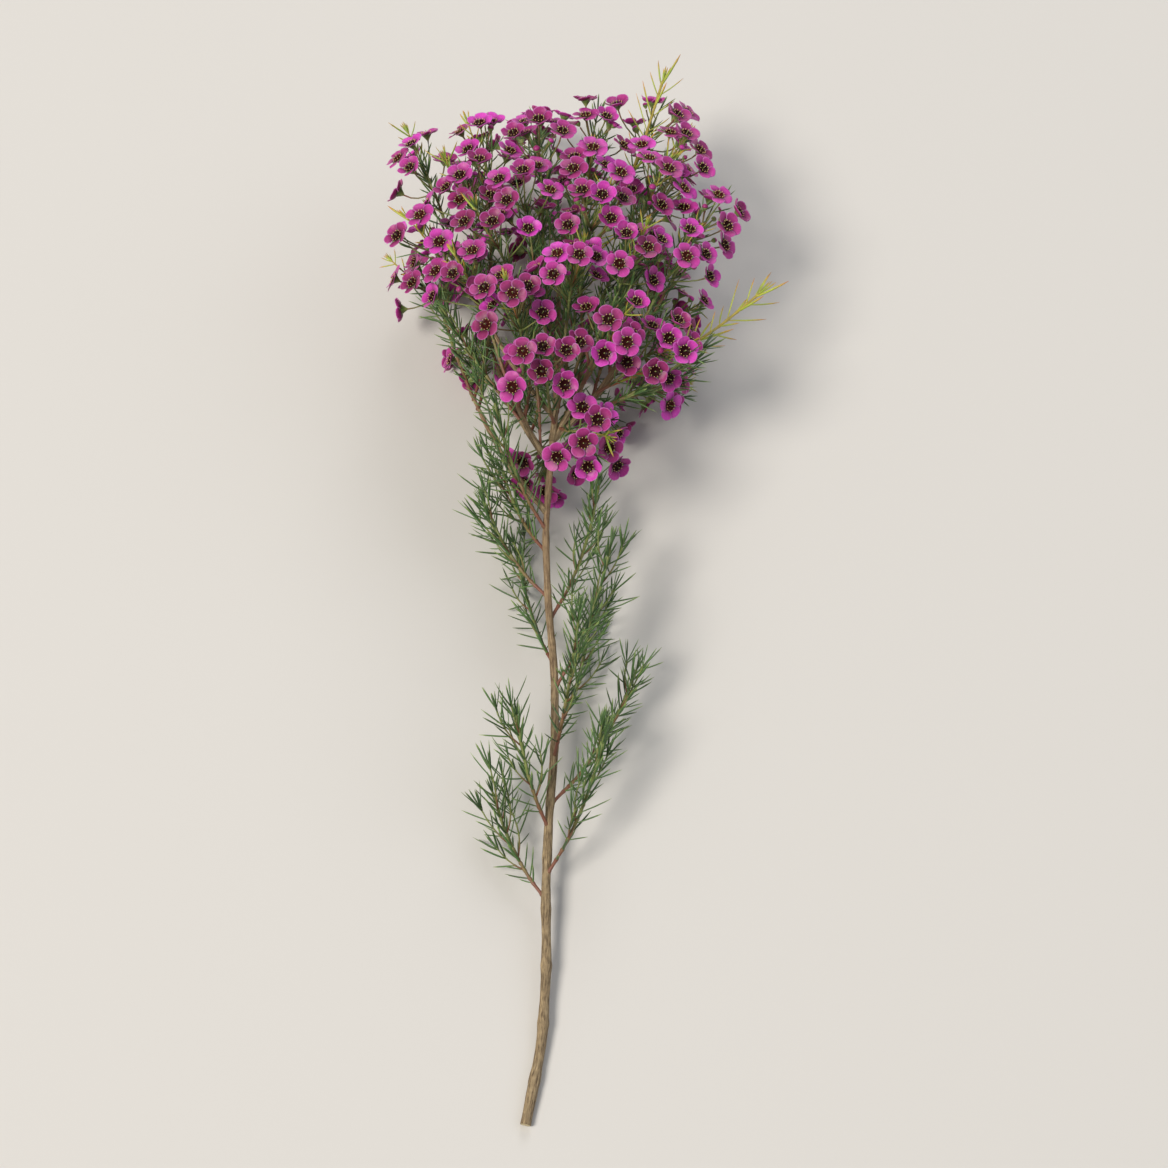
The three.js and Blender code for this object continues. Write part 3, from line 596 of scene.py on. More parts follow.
def grow_young_shoots(taken, limbs):
    shoots = []
    for i, call in enumerate(YOUNG_SHOOTS):
        draw = stream(STREAMS["young"] + i)
        shoots += grow_shoot(taken, limbs[call["limb"]], call, OWNERS["young"] + i, draw)
    grow_shoot_needles(taken, shoots, YOUNG_NEEDLE_LENGTH)
    return shoots


def grow_leafy_shoots(taken, limbs):
    """The shoots under the flowers. Every third one leaves a branch and the others the stem."""
    shoots = []
    for i in range(SHOOT_COUNT):
        draw = stream(STREAMS["leafy"] + i)
        on_stem = i % 3 != 2
        limb = limbs[0] if on_stem else limbs[1 + (i * 2) % BRANCH_COUNT]
        t = mixed(*STEM_SHOOTS, i / SHOOT_COUNT) if on_stem else draw(*BRANCH_SHOOTS)
        length = SHOOT_LENGTH * draw(*SHOOT_LENGTHS)
        call = {"t": t, "turn": i * GOLDEN_ANGLE, "lean": SHOOT_LEAN, "length": length}
        shoots += grow_shoot(taken, limb, call, OWNERS["leafy"] + i, draw)
    grow_shoot_needles(taken, shoots, SHOOT_NEEDLE_LENGTH)
    return shoots


def grow():
    """The whole plan, in the order in which the parts find their room."""
    taken = Taken()
    limbs, ends, calls = grow_wood(spray_places())
    for limb in limbs:
        taken.take(tube_balls(limb), WOOD)
    sprays = grow_twigs(taken, ends, calls)
    young = grow_young_shoots(taken, limbs)
    grow_sprays(taken, sprays)
    leafy = grow_leafy_shoots(taken, limbs)
    return {"taken": taken, "limbs": limbs, "sprays": sprays, "young": young, "leafy": leafy}


PLAN = grow()


# ---- Sizes and colours that a user would change ----

def linear(hex_colour):
    """An sRGB hex colour as linear red, green, blue and alpha."""
    values = [int(hex_colour[i:i + 2], 16) / 255 for i in (1, 3, 5)]
    return (*[v / 12.92 if v <= 0.04045 else ((v + 0.055) / 1.055) ** 2.4 for v in values], 1.0)


def size_value(name, description, default):
    return bpy.props.FloatProperty(
        name=name, description=description, default=default * MM, min=0, unit="LENGTH", precision=5)


def colour_value(name, description, hex_colour):
    return bpy.props.FloatVectorProperty(
        name=name, description=description, subtype="COLOR", size=4, min=0, max=1,
        default=linear(hex_colour))


class WaxflowerSizes(bpy.types.PropertyGroup):
    """Sizes of the flowers, needles and bark."""

    petal_width: size_value("Petal width", "Width of a petal at its widest", 7.4)
    petal_thickness: size_value("Petal thickness", "Thickness in the middle of a petal", 0.45)
    disc_radius: size_value("Disc radius", "Radius of the disc in the flower", 2.85)
    anther_radius: size_value("Anther radius", "Radius of an anther", 0.26)
    stamen_count: bpy.props.IntProperty(
        name="Stamens", description="Number of stamens round the disc", default=10, min=0, max=20)
    needle_width: size_value("Needle width", "Width of a needle leaf", 1.2)
    needle_step: size_value("Needle step", "Distance between needle pairs along a twig", 3.8)
    young_step: size_value("Young needle step", "Distance between pairs on a young shoot", 6)
    bud_radius: size_value("Bud radius", "Radius of a flower bud", 1.9)
    bud_count: bpy.props.IntProperty(
        name="Buds", description="Most buds on a flower spray", default=3, min=0, max=8)
    bark_node_step: size_value("Bark node step", "Distance between the swollen nodes of the stem", 27)
    floor_width: size_value("Floor width", "Width of the floor", 36000)


class WaxflowerColours(bpy.types.PropertyGroup):
    """Colours of the flowers, leaves, wood and floor."""

    petal: colour_value("Petal", "Face of a fresh petal", "#CF45B1")
    petal_deep: colour_value("Petal claw", "Root of a petal, beside the disc", "#660F45")
    # The petal rim colour is partly the petal's own pale edge and partly a painted highlight along it.
    petal_rim_and_highlight: colour_value("Petal rim", "Thin pale rim of a petal", "#DD83D2")
    disc: colour_value("Disc", "Disc of a fresh flower", "#2B080A")
    disc_old: colour_value("Old disc", "Disc of an old flower", "#551B13")
    anther: colour_value("Anther", "Anthers", "#F0CC8C")
    cup_low: colour_value("Cup", "Cup where it meets its pedicel", "#A9B66C")
    cup_high: colour_value("Cup rim", "Cup under the petals", "#6E8547")
    twig: colour_value("Twig", "Green twig and pedicel", "#7F8B4B")
    twig_old: colour_value("Old twig", "Reddish root of a twig", "#845543")
    young_twig: colour_value("Young twig", "Tip of a young shoot's twig", "#B3A24C")
    young_twig_root: colour_value("Young twig root", "Salmon root of a young shoot's twig", "#B5643F")
    needle: colour_value("Needle", "Grown needle leaf", "#426838")
    needle_tip: colour_value("Needle tip", "Tip and edge of a needle leaf", "#93A85C")
    young: colour_value("Young needle", "Needle leaf of a young shoot", "#A9BE48")
    young_tip: colour_value("Young tip", "Tip of a young needle leaf", "#C9743A")
    bark: colour_value("Bark", "Face of the bark", "#8F7B5C")
    bark_dark: colour_value("Bark fissure", "Fissures in the bark", "#52402E")
    bark_light: colour_value("Bark ridge", "Worn ridges of the bark", "#B39E7B")
    cut_wood: colour_value("Cut wood", "End grain at the cut", "#D8C79B")
    floor: colour_value("Floor", "Plain pale floor", "#D3D1CD")


def sizes(name):
    """A size from the panel, in millimetres."""
    return getattr(bpy.context.scene.waxflower_sizes, name) / MM


def colour(name):
    return tuple(getattr(bpy.context.scene.waxflower_colours, name))


def mixed_colour(a, b, share):
    return tuple(mixed(x, y, share) for x, y in zip(a, b))


# ---- Materials ----
# Every piece has two vector attributes. "look" holds how far along its own part a point lies (0 root,
# 1 tip), how near an edge it is (0 middle, 1 edge) and a draw from 0 to 1 for its flower, twig or needle.
# "grain" holds a point of a straightened twig or limb in millimetres: two across and one along.

NOISE_RANGE = {"From Min": 0.3, "From Max": 0.7}  # where a noise has nearly all its values


def add_node(tree, kind, inputs=None, stops=None, **settings):
    """Adds a node with its settings, the values and links of its inputs and the stops of its ramp. A node
    that is given as an input links its first output that is in use."""
    node = tree.nodes.new("ShaderNode" + kind)
    for name, value in settings.items():
        setattr(node, name, value)
    for socket, value in (inputs or {}).items():
        if isinstance(value, bpy.types.Node):
            value = next(output for output in value.outputs if output.enabled)
        if isinstance(value, bpy.types.NodeSocket):
            tree.links.new(value, node.inputs[socket])
        else:
            node.inputs[socket].default_value = value
    if stops:
        elements = node.color_ramp.elements
        while len(elements) < len(stops):
            elements.new(1)
        for element, (position, value) in zip(elements, stops):
            element.position = position
            element.color = value
    return node


def new_tree(name):
    """An emptied material, a function that adds nodes to it, and the three values of its look."""
    material = bpy.data.materials.get(name) or bpy.data.materials.new(name)
    material.use_nodes = True
    material.node_tree.nodes.clear()
    add = partial(add_node, material.node_tree)
    look = add("Attribute", attribute_name="look").outputs["Vector"]
    return material, add, add("SeparateXYZ", {"Vector": look}).outputs


def finish_shader(material, inputs, bump=None):
    """Closes a material: the bump (height, millimetres deep, strength), the shader and the output."""
    add = partial(add_node, material.node_tree)
    if bump:
        height, distance, strength = bump
        normal = add("Bump", {"Height": height, "Distance": distance * MM, "Strength": strength})
        inputs = {**inputs, "Normal": normal}
    add("OutputMaterial", {"Surface": add("BsdfPrincipled", inputs)})
    return material


def petal_material():
    """Waxy petal skin: magenta, deep beside the disc, with a thin pale rim and faint veins that run out
    along it. The pale rim is partly the petal's own paler edge and partly a painted highlight. Each flower
    has its own shade. A soft gloss and light through the petal make it waxy."""
    material, add, look = new_tree("waxy petal skin")
    grain = add("Attribute", attribute_name="grain").outputs["Vector"]
    place = add("TexCoord").outputs["Object"]
    deep, face = colour("petal_deep"), colour("petal")
    length = add("ValToRGB", {"Fac": look["X"]}, stops=[
        (0.08, deep), (0.3, mixed_colour(deep, face, 0.55)), (0.62, face)])
    stretched = add("Mapping", {"Vector": grain, "Scale": (1, 0.14, 1)})
    veins = add("TexNoise", {"Vector": stretched, "Scale": 2.4, "Detail": 3.0, "Roughness": 0.6})
    shade = add("MapRange", {"Value": veins, **NOISE_RANGE, "To Min": 0.82, "To Max": 1.1})
    value = add("MapRange", {"Value": look["Z"], "To Min": 0.5, "To Max": 1.14})
    both = add("Math", {0: shade, 1: value}, operation="MULTIPLY")
    hue = add("MapRange", {"Value": look["Z"], "To Min": 0.545, "To Max": 0.488})
    tinted = add("HueSaturation", {"Color": length, "Value": both, "Hue": hue})
    # Pale rim towards the petal's edge: partly its own paler edge and partly a painted highlight.
    rim = add("MapRange", {"Value": look["Y"], "From Min": 0.8, "From Max": 1.0, "To Max": 0.7})
    with_rim_and_painted_highlight = add("Mix", {"Factor": rim, "A": tinted, "B": colour("petal_rim_and_highlight")}, data_type="RGBA")
    cells = add("TexNoise", {"Vector": place, "Scale": 1800.0, "Detail": 2.0})
    return finish_shader(material, {
        "Base Color": with_rim_and_painted_highlight, "Roughness": 0.42, "Specular IOR Level": 0.32,
        "Coat Weight": 0.05, "Coat Roughness": 0.3, "Subsurface Weight": 0.2,
        "Subsurface Radius": (1.0, 0.25, 0.7), "Subsurface Scale": 0.9 * MM}, (cells, 0.1, 0.6))


def disc_material():
    """Nectar disc: near-black maroon in young flowers and browner in old ones. Its low gloss and fine
    lumps keep it dark beside the lit petals."""
    material, add, look = new_tree("wet nectar disc")
    place = add("TexCoord").outputs["Object"]
    age = add("ValToRGB", {"Fac": look["Z"]}, stops=[(0.55, colour("disc")), (0.95, colour("disc_old"))])
    lumps = add("TexNoise", {"Vector": place, "Scale": 1500.0})
    return finish_shader(material, {
        "Base Color": age, "Roughness": 0.5, "Specular IOR Level": 0.08,
        "Coat Weight": 0.06, "Coat Roughness": 0.1}, (lumps, 0.15, 0.5))


def cup_material():
    """Gland-dotted cup skin: pale yellow-green at the pedicel and sage green under the petals, with
    darker oil dots twice their real size, so that they show."""
    material, add, look = new_tree("gland-dotted cup skin")
    place = add("TexCoord").outputs["Object"]
    low, high = colour("cup_low"), colour("cup_high")
    height = add("ValToRGB", {"Fac": look["X"]}, stops=[
        (0.05, low), (0.6, high), (0.9, high), (1.0, colour("disc"))])
    dots = add("TexVoronoi", {"Vector": place, "Scale": 1600.0})
    dark = add("MapRange", {"Value": dots, "From Min": 0.15, "From Max": 0.4, "To Min": 0.55})
    dotted = add("HueSaturation", {"Color": height, "Value": dark})
    return finish_shader(material, {"Base Color": dotted, "Roughness": 0.38}, (dots, 0.1, 0.5))


def anther_material():
    """Pollen-dusted anther: warm cream, matt and slightly granular."""
    material, add, look = new_tree("pollen-dusted anther")
    place = add("TexCoord").outputs["Object"]
    value = add("MapRange", {"Value": look["Z"], "To Min": 0.7, "To Max": 1.05})
    shade = add("HueSaturation", {"Color": colour("anther"), "Value": value})
    grains = add("TexNoise", {"Vector": place, "Scale": 4000.0})
    return finish_shader(material, {"Base Color": shade, "Roughness": 0.7}, (grains, 0.1, 0.5))


def twig_material(name, root, end):
    """Green twig skin: reddish where it leaves the wood and greener towards its tip, in patches, with
    fine ribs along it."""
    material, add, look = new_tree(name)
    grain = add("Attribute", attribute_name="grain").outputs["Vector"]
    stretched = add("Mapping", {"Vector": grain, "Scale": (1, 1, 0.12)})
    ribs = add("TexNoise", {"Vector": stretched, "Scale": 2.6})
    patches = add("TexNoise", {"Vector": grain, "Scale": 0.07, "Detail": 2.0})
    mix = add("Math", {0: patches, 1: -0.5}, operation="ADD")
    share = add("Math", {0: mix, 1: look["X"]}, operation="ADD")
    age = add("ValToRGB", {"Fac": share}, stops=[(0.05, colour(root)), (0.55, colour(end))])
    value = add("MapRange", {"Value": ribs, **NOISE_RANGE, "To Min": 0.72, "To Max": 1.15})
    shaded = add("HueSaturation", {"Color": age, "Value": value})
    return finish_shader(material, {"Base Color": shaded, "Roughness": 0.5}, (ribs, 0.25, 0.6))


def needle_material(name, body, tip, tip_starts, greenest):
    """Waxy needle skin: green with a paler keel and tip, each needle its own shade from greenest (a hue
    shift) to plain, and a fine grain that breaks its gloss."""
    material, add, look = new_tree(name)
    place = add("TexCoord").outputs["Object"]
    body, tip = colour(body), colour(tip)
    length = add("ValToRGB", {"Fac": look["X"]}, stops=[
        (0.0, mixed_colour(body, tip, 0.3)), (0.2, body), (tip_starts, body), (1.0, tip)])
    keel = add("Math", {0: look["Y"], 1: 0.28}, operation="MULTIPLY")
    keeled = add("Mix", {"Factor": keel, "A": length, "B": tip}, data_type="RGBA")
    patches = add("TexNoise", {"Vector": place, "Scale": 900.0})
    shade = add("MapRange", {"Value": look["Z"], "To Min": 0.52, "To Max": 1.28})
    mottle = add("MapRange", {"Value": patches, **NOISE_RANGE, "To Min": 0.85, "To Max": 1.12})
    value = add("Math", {0: shade, 1: mottle}, operation="MULTIPLY")
    hue = add("MapRange", {"Value": look["Z"], "To Min": greenest, "To Max": 0.5})
    tinted = add("HueSaturation", {"Color": keeled, "Value": value, "Hue": hue})
    return finish_shader(material, {
        "Base Color": tinted, "Roughness": 0.4, "Subsurface Weight": 0.08,
        "Subsurface Radius": (0.6, 1.0, 0.2), "Subsurface Scale": 0.5 * MM}, (patches, 0.06, 0.5))


def bark_material():
    """Dry fissured bark: tan with thin dark fissures along the limb every 1 to 2 mm, worn pale ridges
    and lengthwise flakes a few millimetres long. It reddens towards a limb's tip."""
    material, add, look = new_tree("dry fissured bark")
    grain = add("Attribute", attribute_name="grain").outputs["Vector"]
    stretched = add("Mapping", {"Vector": grain, "Scale": (1, 1, 0.09)})
    fissures = add("TexNoise", {"Vector": stretched, "Scale": 1.7, "Detail": 4.0, "Roughness": 0.65})
    flakes = add("TexNoise", {"Vector": grain, "Scale": 0.35, "Detail": 3.0})
    face = add("ValToRGB", {"Fac": fissures}, stops=[
        (0.36, colour("bark_dark")), (0.47, colour("bark")), (0.68, colour("bark_light"))])
    patch = add("MapRange", {"Value": flakes, **NOISE_RANGE, "To Min": 0.74, "To Max": 1.12})
    toned = add("HueSaturation", {"Color": face, "Value": patch})
    red = mixed_colour(colour("twig_old"), colour("bark"), 0.35)
    thin = add("MapRange", {"Value": look["X"], "From Min": 0.35, "From Max": 1.0, "To Max": 0.6})
    young = add("Mix", {"Factor": thin, "A": toned, "B": red}, data_type="RGBA")
    return finish_shader(material, {"Base Color": young, "Roughness": 0.82}, (fissures, 0.5, 0.9))


def cut_wood_material():
    """Fresh cut end grain: pale wood with fine growth rings round a darker pith."""
    material, add, look = new_tree("fresh cut end grain")
    rings = add("Math", {0: look["Y"], 1: 26.0}, operation="MULTIPLY")
    wave = add("Math", {0: rings}, operation="SINE")
    tone = add("MapRange", {"Value": wave, "From Min": -1.0, "To Min": 0.85})
    wood = colour("cut_wood")
    pith = add("ValToRGB", {"Fac": look["Y"]}, stops=[
        (0.08, colour("bark")), (0.2, wood), (0.86, wood), (0.97, colour("bark_dark"))])
    ringed = add("HueSaturation", {"Color": pith, "Value": tone})
    return finish_shader(material, {"Base Color": ringed, "Roughness": 0.75})


def floor_material():
    """Matt painted board: plain and pale, with a barely seen tooth."""
    material, add, _ = new_tree("matt painted board")
    place = add("TexCoord").outputs["Object"]
    tooth = add("TexNoise", {"Vector": place, "Scale": 400.0})
    return finish_shader(material, {"Base Color": colour("floor"), "Roughness": 0.8}, (tooth, 0.05, 0.3))


PETAL, DISC, CUP, ANTHER, TWIG, NEEDLE, YOUNG, YOUNG_TWIG = range(8)
BARK, CUT = range(2)


def plant_materials():
    """The green and flowering pieces' materials, in the order of PETAL to YOUNG_TWIG."""
    return [
        petal_material(), disc_material(), cup_material(), anther_material(),
        twig_material("green twig skin", "twig_old", "twig"),
        needle_material("waxy needle skin", "needle", "needle_tip", 0.72, 0.5),
        needle_material("young needle skin", "young", "young_tip", 0.55, 0.56),
        twig_material("young twig skin", "young_twig_root", "young_twig"),
    ]


# ---- Modelling ----
# Pieces are modelled in millimetres and scaled to metres when they are finished. What would dip into the
# floor is pressed flat just above it.

FLOOR_GAP = 0.05


def new_mesh():
    """An empty bmesh with the look and grain attributes."""
    bm = bmesh.new()
    bm.verts.layers.float_vector.new("look")
    bm.verts.layers.float_vector.new("grain")
    return bm


def look_of(bm):
    return bm.verts.layers.float_vector["look"]


def grain_of(bm):
    return bm.verts.layers.float_vector["grain"]


def as_mesh(bm, name):
    """Turns a bmesh into a mesh and frees it."""
    mesh = bpy.data.meshes.new(name)
    bm.to_mesh(mesh)
    bm.free()
    return mesh


def as_template(bm, name):
    """Keeps a small shape as a mesh that stamp copies."""
    bmesh.ops.recalc_face_normals(bm, faces=bm.faces)
    return as_mesh(bm, name)


def stamp(bm, template, material=None):
    """Copies a template into a mesh and returns its new vertices. Nothing is ever deleted from the mesh
    that it is copied into, so that the new parts are always the last ones."""
    verts, faces = len(bm.verts), len(bm.faces)
    bm.from_mesh(template)
    bm.verts.ensure_lookup_table()
    if material is not None:
        bm.faces.ensure_lookup_table()
        for face in bm.faces[faces:]:
            face.material_index = material
    return bm.verts[verts:]


def merge(bm, part):
    """Copies a part that was modelled on its own into a mesh."""
    template = as_template(part, "part")
    stamp(bm, template)
    bpy.data.meshes.remove(template)


def add_form(make, bm, material, look_value, **settings):
    """Adds a form that a bmesh operator makes, all of one material and look."""
    verts, faces = len(bm.verts), len(bm.faces)
    make(bm, **settings)
    bm.verts.ensure_lookup_table()
    bm.faces.ensure_lookup_table()
    for vert in bm.verts[verts:]:
        vert[look_of(bm)] = look_value
    for face in bm.faces[faces:]:
        face.material_index = material


def new_object(name, data):
    thing = bpy.data.objects.new(name, data)
    bpy.context.scene.collection.objects.link(thing)
    return thing


def close_piece(bm, name, slot, nodes, materials):
    """Turns a modelled bmesh into a finished piece that rides on the stem and stands for its nodes."""
    for vert in bm.verts:
        vert.co.z = max(vert.co.z, FLOOR_GAP)
    bmesh.ops.scale(bm, vec=(MM, MM, MM), verts=bm.verts)
    for face in bm.faces:
        face.smooth = True
    piece = new_object(name, as_mesh(bm, name))
    for material in materials:
        piece.data.materials.append(material)
    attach(piece, "root")
    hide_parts(*nodes)


def station_matrix(at, heading, u, radius):
    """The matrix that lays a unit circle across a line at a point."""
    v = cross(heading, u)
    rows = [(u[i] * radius, v[i] * radius, heading[i], at[i]) for i in range(3)]
    return Matrix((*rows, (0, 0, 0, 1)))


def add_tube(bm, stations, sides, material, tint, cut_material=None):
    """A closed tube drawn out from station to station. A station is (at, heading, u, radius, mm along,
    share grown). With a cut material its first face is a sharp-edged cut with a middle point."""
    part = new_mesh()
    look, grain = look_of(part), grain_of(part)
    ring = bmesh.ops.create_circle(part, cap_ends=True, segments=sides, radius=1)["verts"]
    first = face = ring[0].link_faces[0]
    before = Matrix.Identity(4)
    for index, (at, heading, u, radius, run, growth) in enumerate(stations):
        if index:
            made = bmesh.ops.extrude_face_region(part, geom=[face])["geom"]
            ring = [item for item in made if isinstance(item, bmesh.types.BMVert)]
            if index > 1:
                part.faces.remove(face)
            face = next(item for item in made if isinstance(item, bmesh.types.BMFace))
        matrix = station_matrix(at, heading, u, radius)
        bmesh.ops.transform(part, matrix=matrix @ before.inverted(), verts=ring)
        inverse = matrix.inverted()
        for vert in ring:
            local = inverse @ vert.co
            vert[grain] = (local.x * radius, local.y * radius, run)
            vert[look] = (growth, 1, tint)
        before = matrix
    for item in part.faces:
        item.material_index = material
    if cut_material is not None:
        for edge in first.edges:
            edge.smooth = False
        middle = bmesh.ops.poke(part, faces=[first])
        for item in middle["faces"]:
            item.material_index = cut_material
        for vert in middle["verts"]:
            vert[look] = (0, 0, 0.5)
    merge(bm, part)


def lathe(bm, steps, material, profile):
    """Spins a profile of (radius, height, share grown) round the axis and closes its poles."""
    part = new_mesh()
    look = look_of(part)
    verts = []
    for radius, height, share in profile:
        vert = part.verts.new((radius, 0, height))
        vert[look] = (share, 0, OPENING_TINT)
        verts.append(vert)
    edges = [part.edges.new(pair) for pair in zip(verts, verts[1:])]
    bmesh.ops.spin(part, geom=verts + edges, cent=(0, 0, 0), axis=(0, 0, 1), angle=TAU, steps=steps,
                   use_merge=True)
    bmesh.ops.remove_doubles(part, verts=part.verts, dist=0.001)
    for face in part.faces:
        face.material_index = material
    merge(bm, part)


def cut_rod(name, sides, cuts):
    """A straight rod, one long and one in radius, cut across at shares of its length so that it can bend."""
    bm = new_mesh()
    bmesh.ops.create_cone(bm, cap_ends=True, segments=sides, radius1=1, radius2=1, depth=1,
                          matrix=Matrix.Translation((0, 0, 0.5)))
    for share in cuts:
        bmesh.ops.bisect_plane(bm, geom=bm.verts[:] + bm.edges[:] + bm.faces[:], plane_co=(0, 0, share),
                               plane_no=(0, 0, 1))
    return as_template(bm, name)


# ---- Flowers ----

OPENING_TINT = 0.5  # in a template's look, stands for a tint that goes with how open its flower is
FLOWER_SIDES = 12
BUD_SIDES = 8
PETAL_INSIDE = 0.55  # from the cup's radius to a petal's root
PETAL_SINK = 0.1
PETAL_SLACK = 1.03  # a petal's length over the straight way from root to rim
PETAL_REACHES = (0.96, 1.04)
PETAL_RISES = (-0.5, 0.5)
PETAL_WIDTHS = (0.94, 1.06)
PETAL_CURL = (0.6, -0.16)  # radians from root to rim, in a closed and in an open flower
PETAL_CURLS = (-0.12, 0.12)
PETAL_HOLLOW = (1.1, 0.5)  # how high its sides stand over its middle, closed and open
PETAL_HOLLOWS = (0.7, 1.3)
PETAL_TWISTS = (0.17, 0.05)  # rise across the petal for each millimetre, and how much it varies
PETAL_WAVES = (0.1, 0.26)  # height of its rim's four waves
VEINS_APART = 40  # keeps the veins of two flowers from looking the same
CUP_LIP = 0.1
SEPAL_PLACE = (0.25, 0, -0.05)  # from the cup's rim
SEPAL_LEAN = -0.45
SEPAL_SHAPE = (1.0, 1.15, 0.2, 1)
STAMEN_LOOK = (0.5, 0, 0.7)
STYLE_TINT = 0.9
STALK_STEPS = 4
PEDICEL_BEND = 0.35
PEDICEL_RADIUS = (0.5, 0.4)
PEDICEL_FLARE = 0.06
PEDICEL_GREENING = (0.7, 0.25)  # where its ends lie on the twig's scale of reddish to green
BUD_CUP = 2.4
BUD_REACH = (9, 17)
BUD_LEAN = (0.25, 0.95)
BUD_FACING_UP = (0, 0.4)
BUD_TRIES = 12
BUD_SCALES = (0.7, 1.1)
BUD_TINTS = (0.1, 0.8)
BARE_ROOT = 0.3  # share of a bud's or sprig's reach that may touch what it grows from
FINE = THIN * 0.6


def petal_template():
    """A unit sphere that add_petal flattens and shapes: its points lie in rings from middle to rim."""
    bm = new_mesh()
    bmesh.ops.create_uvsphere(bm, u_segments=FLOWER_SIDES, v_segments=6, radius=1)
    return as_template(bm, "petal form")


def add_petal(bm, template, flower, angle, draw, tint):
    """A round petal with a broad root. It leaves the cup inside its rim, rises and curls in as far as its
    flower is closed, and lies a little skew, so that one side is over its neighbour and the other under."""
    opening, axis, centre = flower["open"], Vector(flower["axis"]), Vector(flower["centre"])
    u, v = across(flower["axis"])
    out = Vector(u * math.cos(angle) + v * math.sin(angle))
    side = Vector(v * math.cos(angle) - u * math.sin(angle))
    root = CUP_RADIUS - PETAL_INSIDE
    reach = flower["radius"] * mixed(CUPPED_REACH, 1, opening) * draw(*PETAL_REACHES) - root
    rise = mixed(*PETAL_RISE, opening) + draw(*PETAL_RISES)
    length = math.hypot(reach, rise) * PETAL_SLACK
    mean = math.atan2(rise, reach)
    curl = mixed(*PETAL_CURL, opening) + draw(*PETAL_CURLS)
    width = sizes("petal_width") / 2 * flower["radius"] / FLOWER_RADIUS * draw(*PETAL_WIDTHS)
    thick = sizes("petal_thickness") / 2
    hollow = mixed(*PETAL_HOLLOW, opening) * draw(*PETAL_HOLLOWS)
    twist = PETAL_TWISTS[0] + draw(-PETAL_TWISTS[1], PETAL_TWISTS[1])
    wave, phase = draw(*PETAL_WAVES), draw(0, TAU)
    look, grain = look_of(bm), grain_of(bm)
    for vert in stamp(bm, template, PETAL):
        p, q, h = vert.co
        rim = math.hypot(p, q)
        t = (q + 1) / 2
        sideways = p * width * (0.88 + 0.12 * t + 0.45 * (1 - t) ** 3)  # a round rim on a broad root
        run = t * length
        lean = mean + curl * (t - 1)
        slope = mean + curl * (2 * t - 1)
        lift = (hollow * p * p * (0.4 + 0.6 * t)  # its sides stand up most near the rim
                + sideways * twist
                + wave * math.sin(4 * math.atan2(p, q) + phase) * rim ** 3
                + h * thick * (1 - 0.35 * t))  # and it thins towards the rim
        outward = root + run * math.cos(lean) - lift * math.sin(slope)
        upward = run * math.sin(lean) + lift * math.cos(slope) - PETAL_SINK
        vert.co = centre + out * outward + side * sideways + axis * upward
        vert[look] = (t, rim, tint)
        vert[grain] = (sideways / (0.5 + 0.5 * t), run, VEINS_APART * tint + angle)


def add_sepal(bm, angle, rim):
    """A small rounded lobe under the gap between two petals."""
    aside, _, up = SEPAL_PLACE
    place = (Matrix.Rotation(angle, 4, "Z") @ Matrix.Translation((rim + aside, 0, up))
             @ Matrix.Rotation(SEPAL_LEAN, 4, "Y") @ Matrix.Diagonal(SEPAL_SHAPE))
    add_form(bmesh.ops.create_icosphere, bm, CUP, (0.75, 1, OPENING_TINT),
             subdivisions=1, radius=1, matrix=place)


def add_stamen(bm, angle, disc_radius, anther_radius):
    """A short dark filament at the disc's edge, with a round cream anther on it."""
    turn = Matrix.Rotation(angle, 4, "Z")
    foot = turn @ Matrix.Translation((disc_radius - 0.2, 0, 0.65))
    top = turn @ Matrix.Translation((disc_radius - 0.15, 0, 1.1)) @ Matrix.Diagonal((1, 1, 0.8, 1))
    add_form(bmesh.ops.create_cone, bm, DISC, STAMEN_LOOK,
             cap_ends=True, segments=3, radius1=0.2, radius2=0.1, depth=0.8, matrix=foot)
    add_form(bmesh.ops.create_icosphere, bm, ANTHER, STAMEN_LOOK,
             subdivisions=1, radius=anther_radius, matrix=top)


def heart_template(stamens, disc_radius, anther_radius):
    """The middle of a flower: cup, sepals, disc, stamens and style. The petals' roots are at height 0."""
    bm = new_mesh()
    rim = disc_radius + CUP_LIP
    lathe(bm, FLOWER_SIDES, CUP, [
        (0.0, -CUP_HEIGHT - 0.3, 0.0), (0.45, -CUP_HEIGHT, 0.0), (0.95, -CUP_HEIGHT + 0.7, 0.15),
        (2.0, -1.5, 0.55), (rim, -0.3, 0.88), (rim, 0.25, 1.0), (0.0, -1.3, 1.0)])
    bowl = [(0.0, -1.2), (disc_radius, 0.15), (disc_radius, 0.38), (disc_radius - 0.3, 0.52),
            (disc_radius * 0.72, -0.05), (disc_radius * 0.38, -0.55), (0.0, -0.65)]
    lathe(bm, FLOWER_SIDES, DISC, [(*at, 0.5) for at in bowl])
    for i in range(PETALS):
        add_sepal(bm, (i + 0.5) * PETAL_STEP, rim)
    for i in range(stamens):
        add_stamen(bm, (i + 0.25) * TAU / stamens, disc_radius, anther_radius)
    add_form(bmesh.ops.create_cone, bm, DISC, (0.5, 0, STYLE_TINT), cap_ends=True, segments=5,
             radius1=0.22, radius2=0.14, depth=2.4, matrix=Matrix.Translation((0, 0, 0.55)))
    add_form(bmesh.ops.create_icosphere, bm, CUP, (0, 0, STYLE_TINT), subdivisions=1,
             radius=anther_radius * 1.2, matrix=Matrix.Translation((0, 0, 1.8)))
    return as_template(bm, "flower heart")


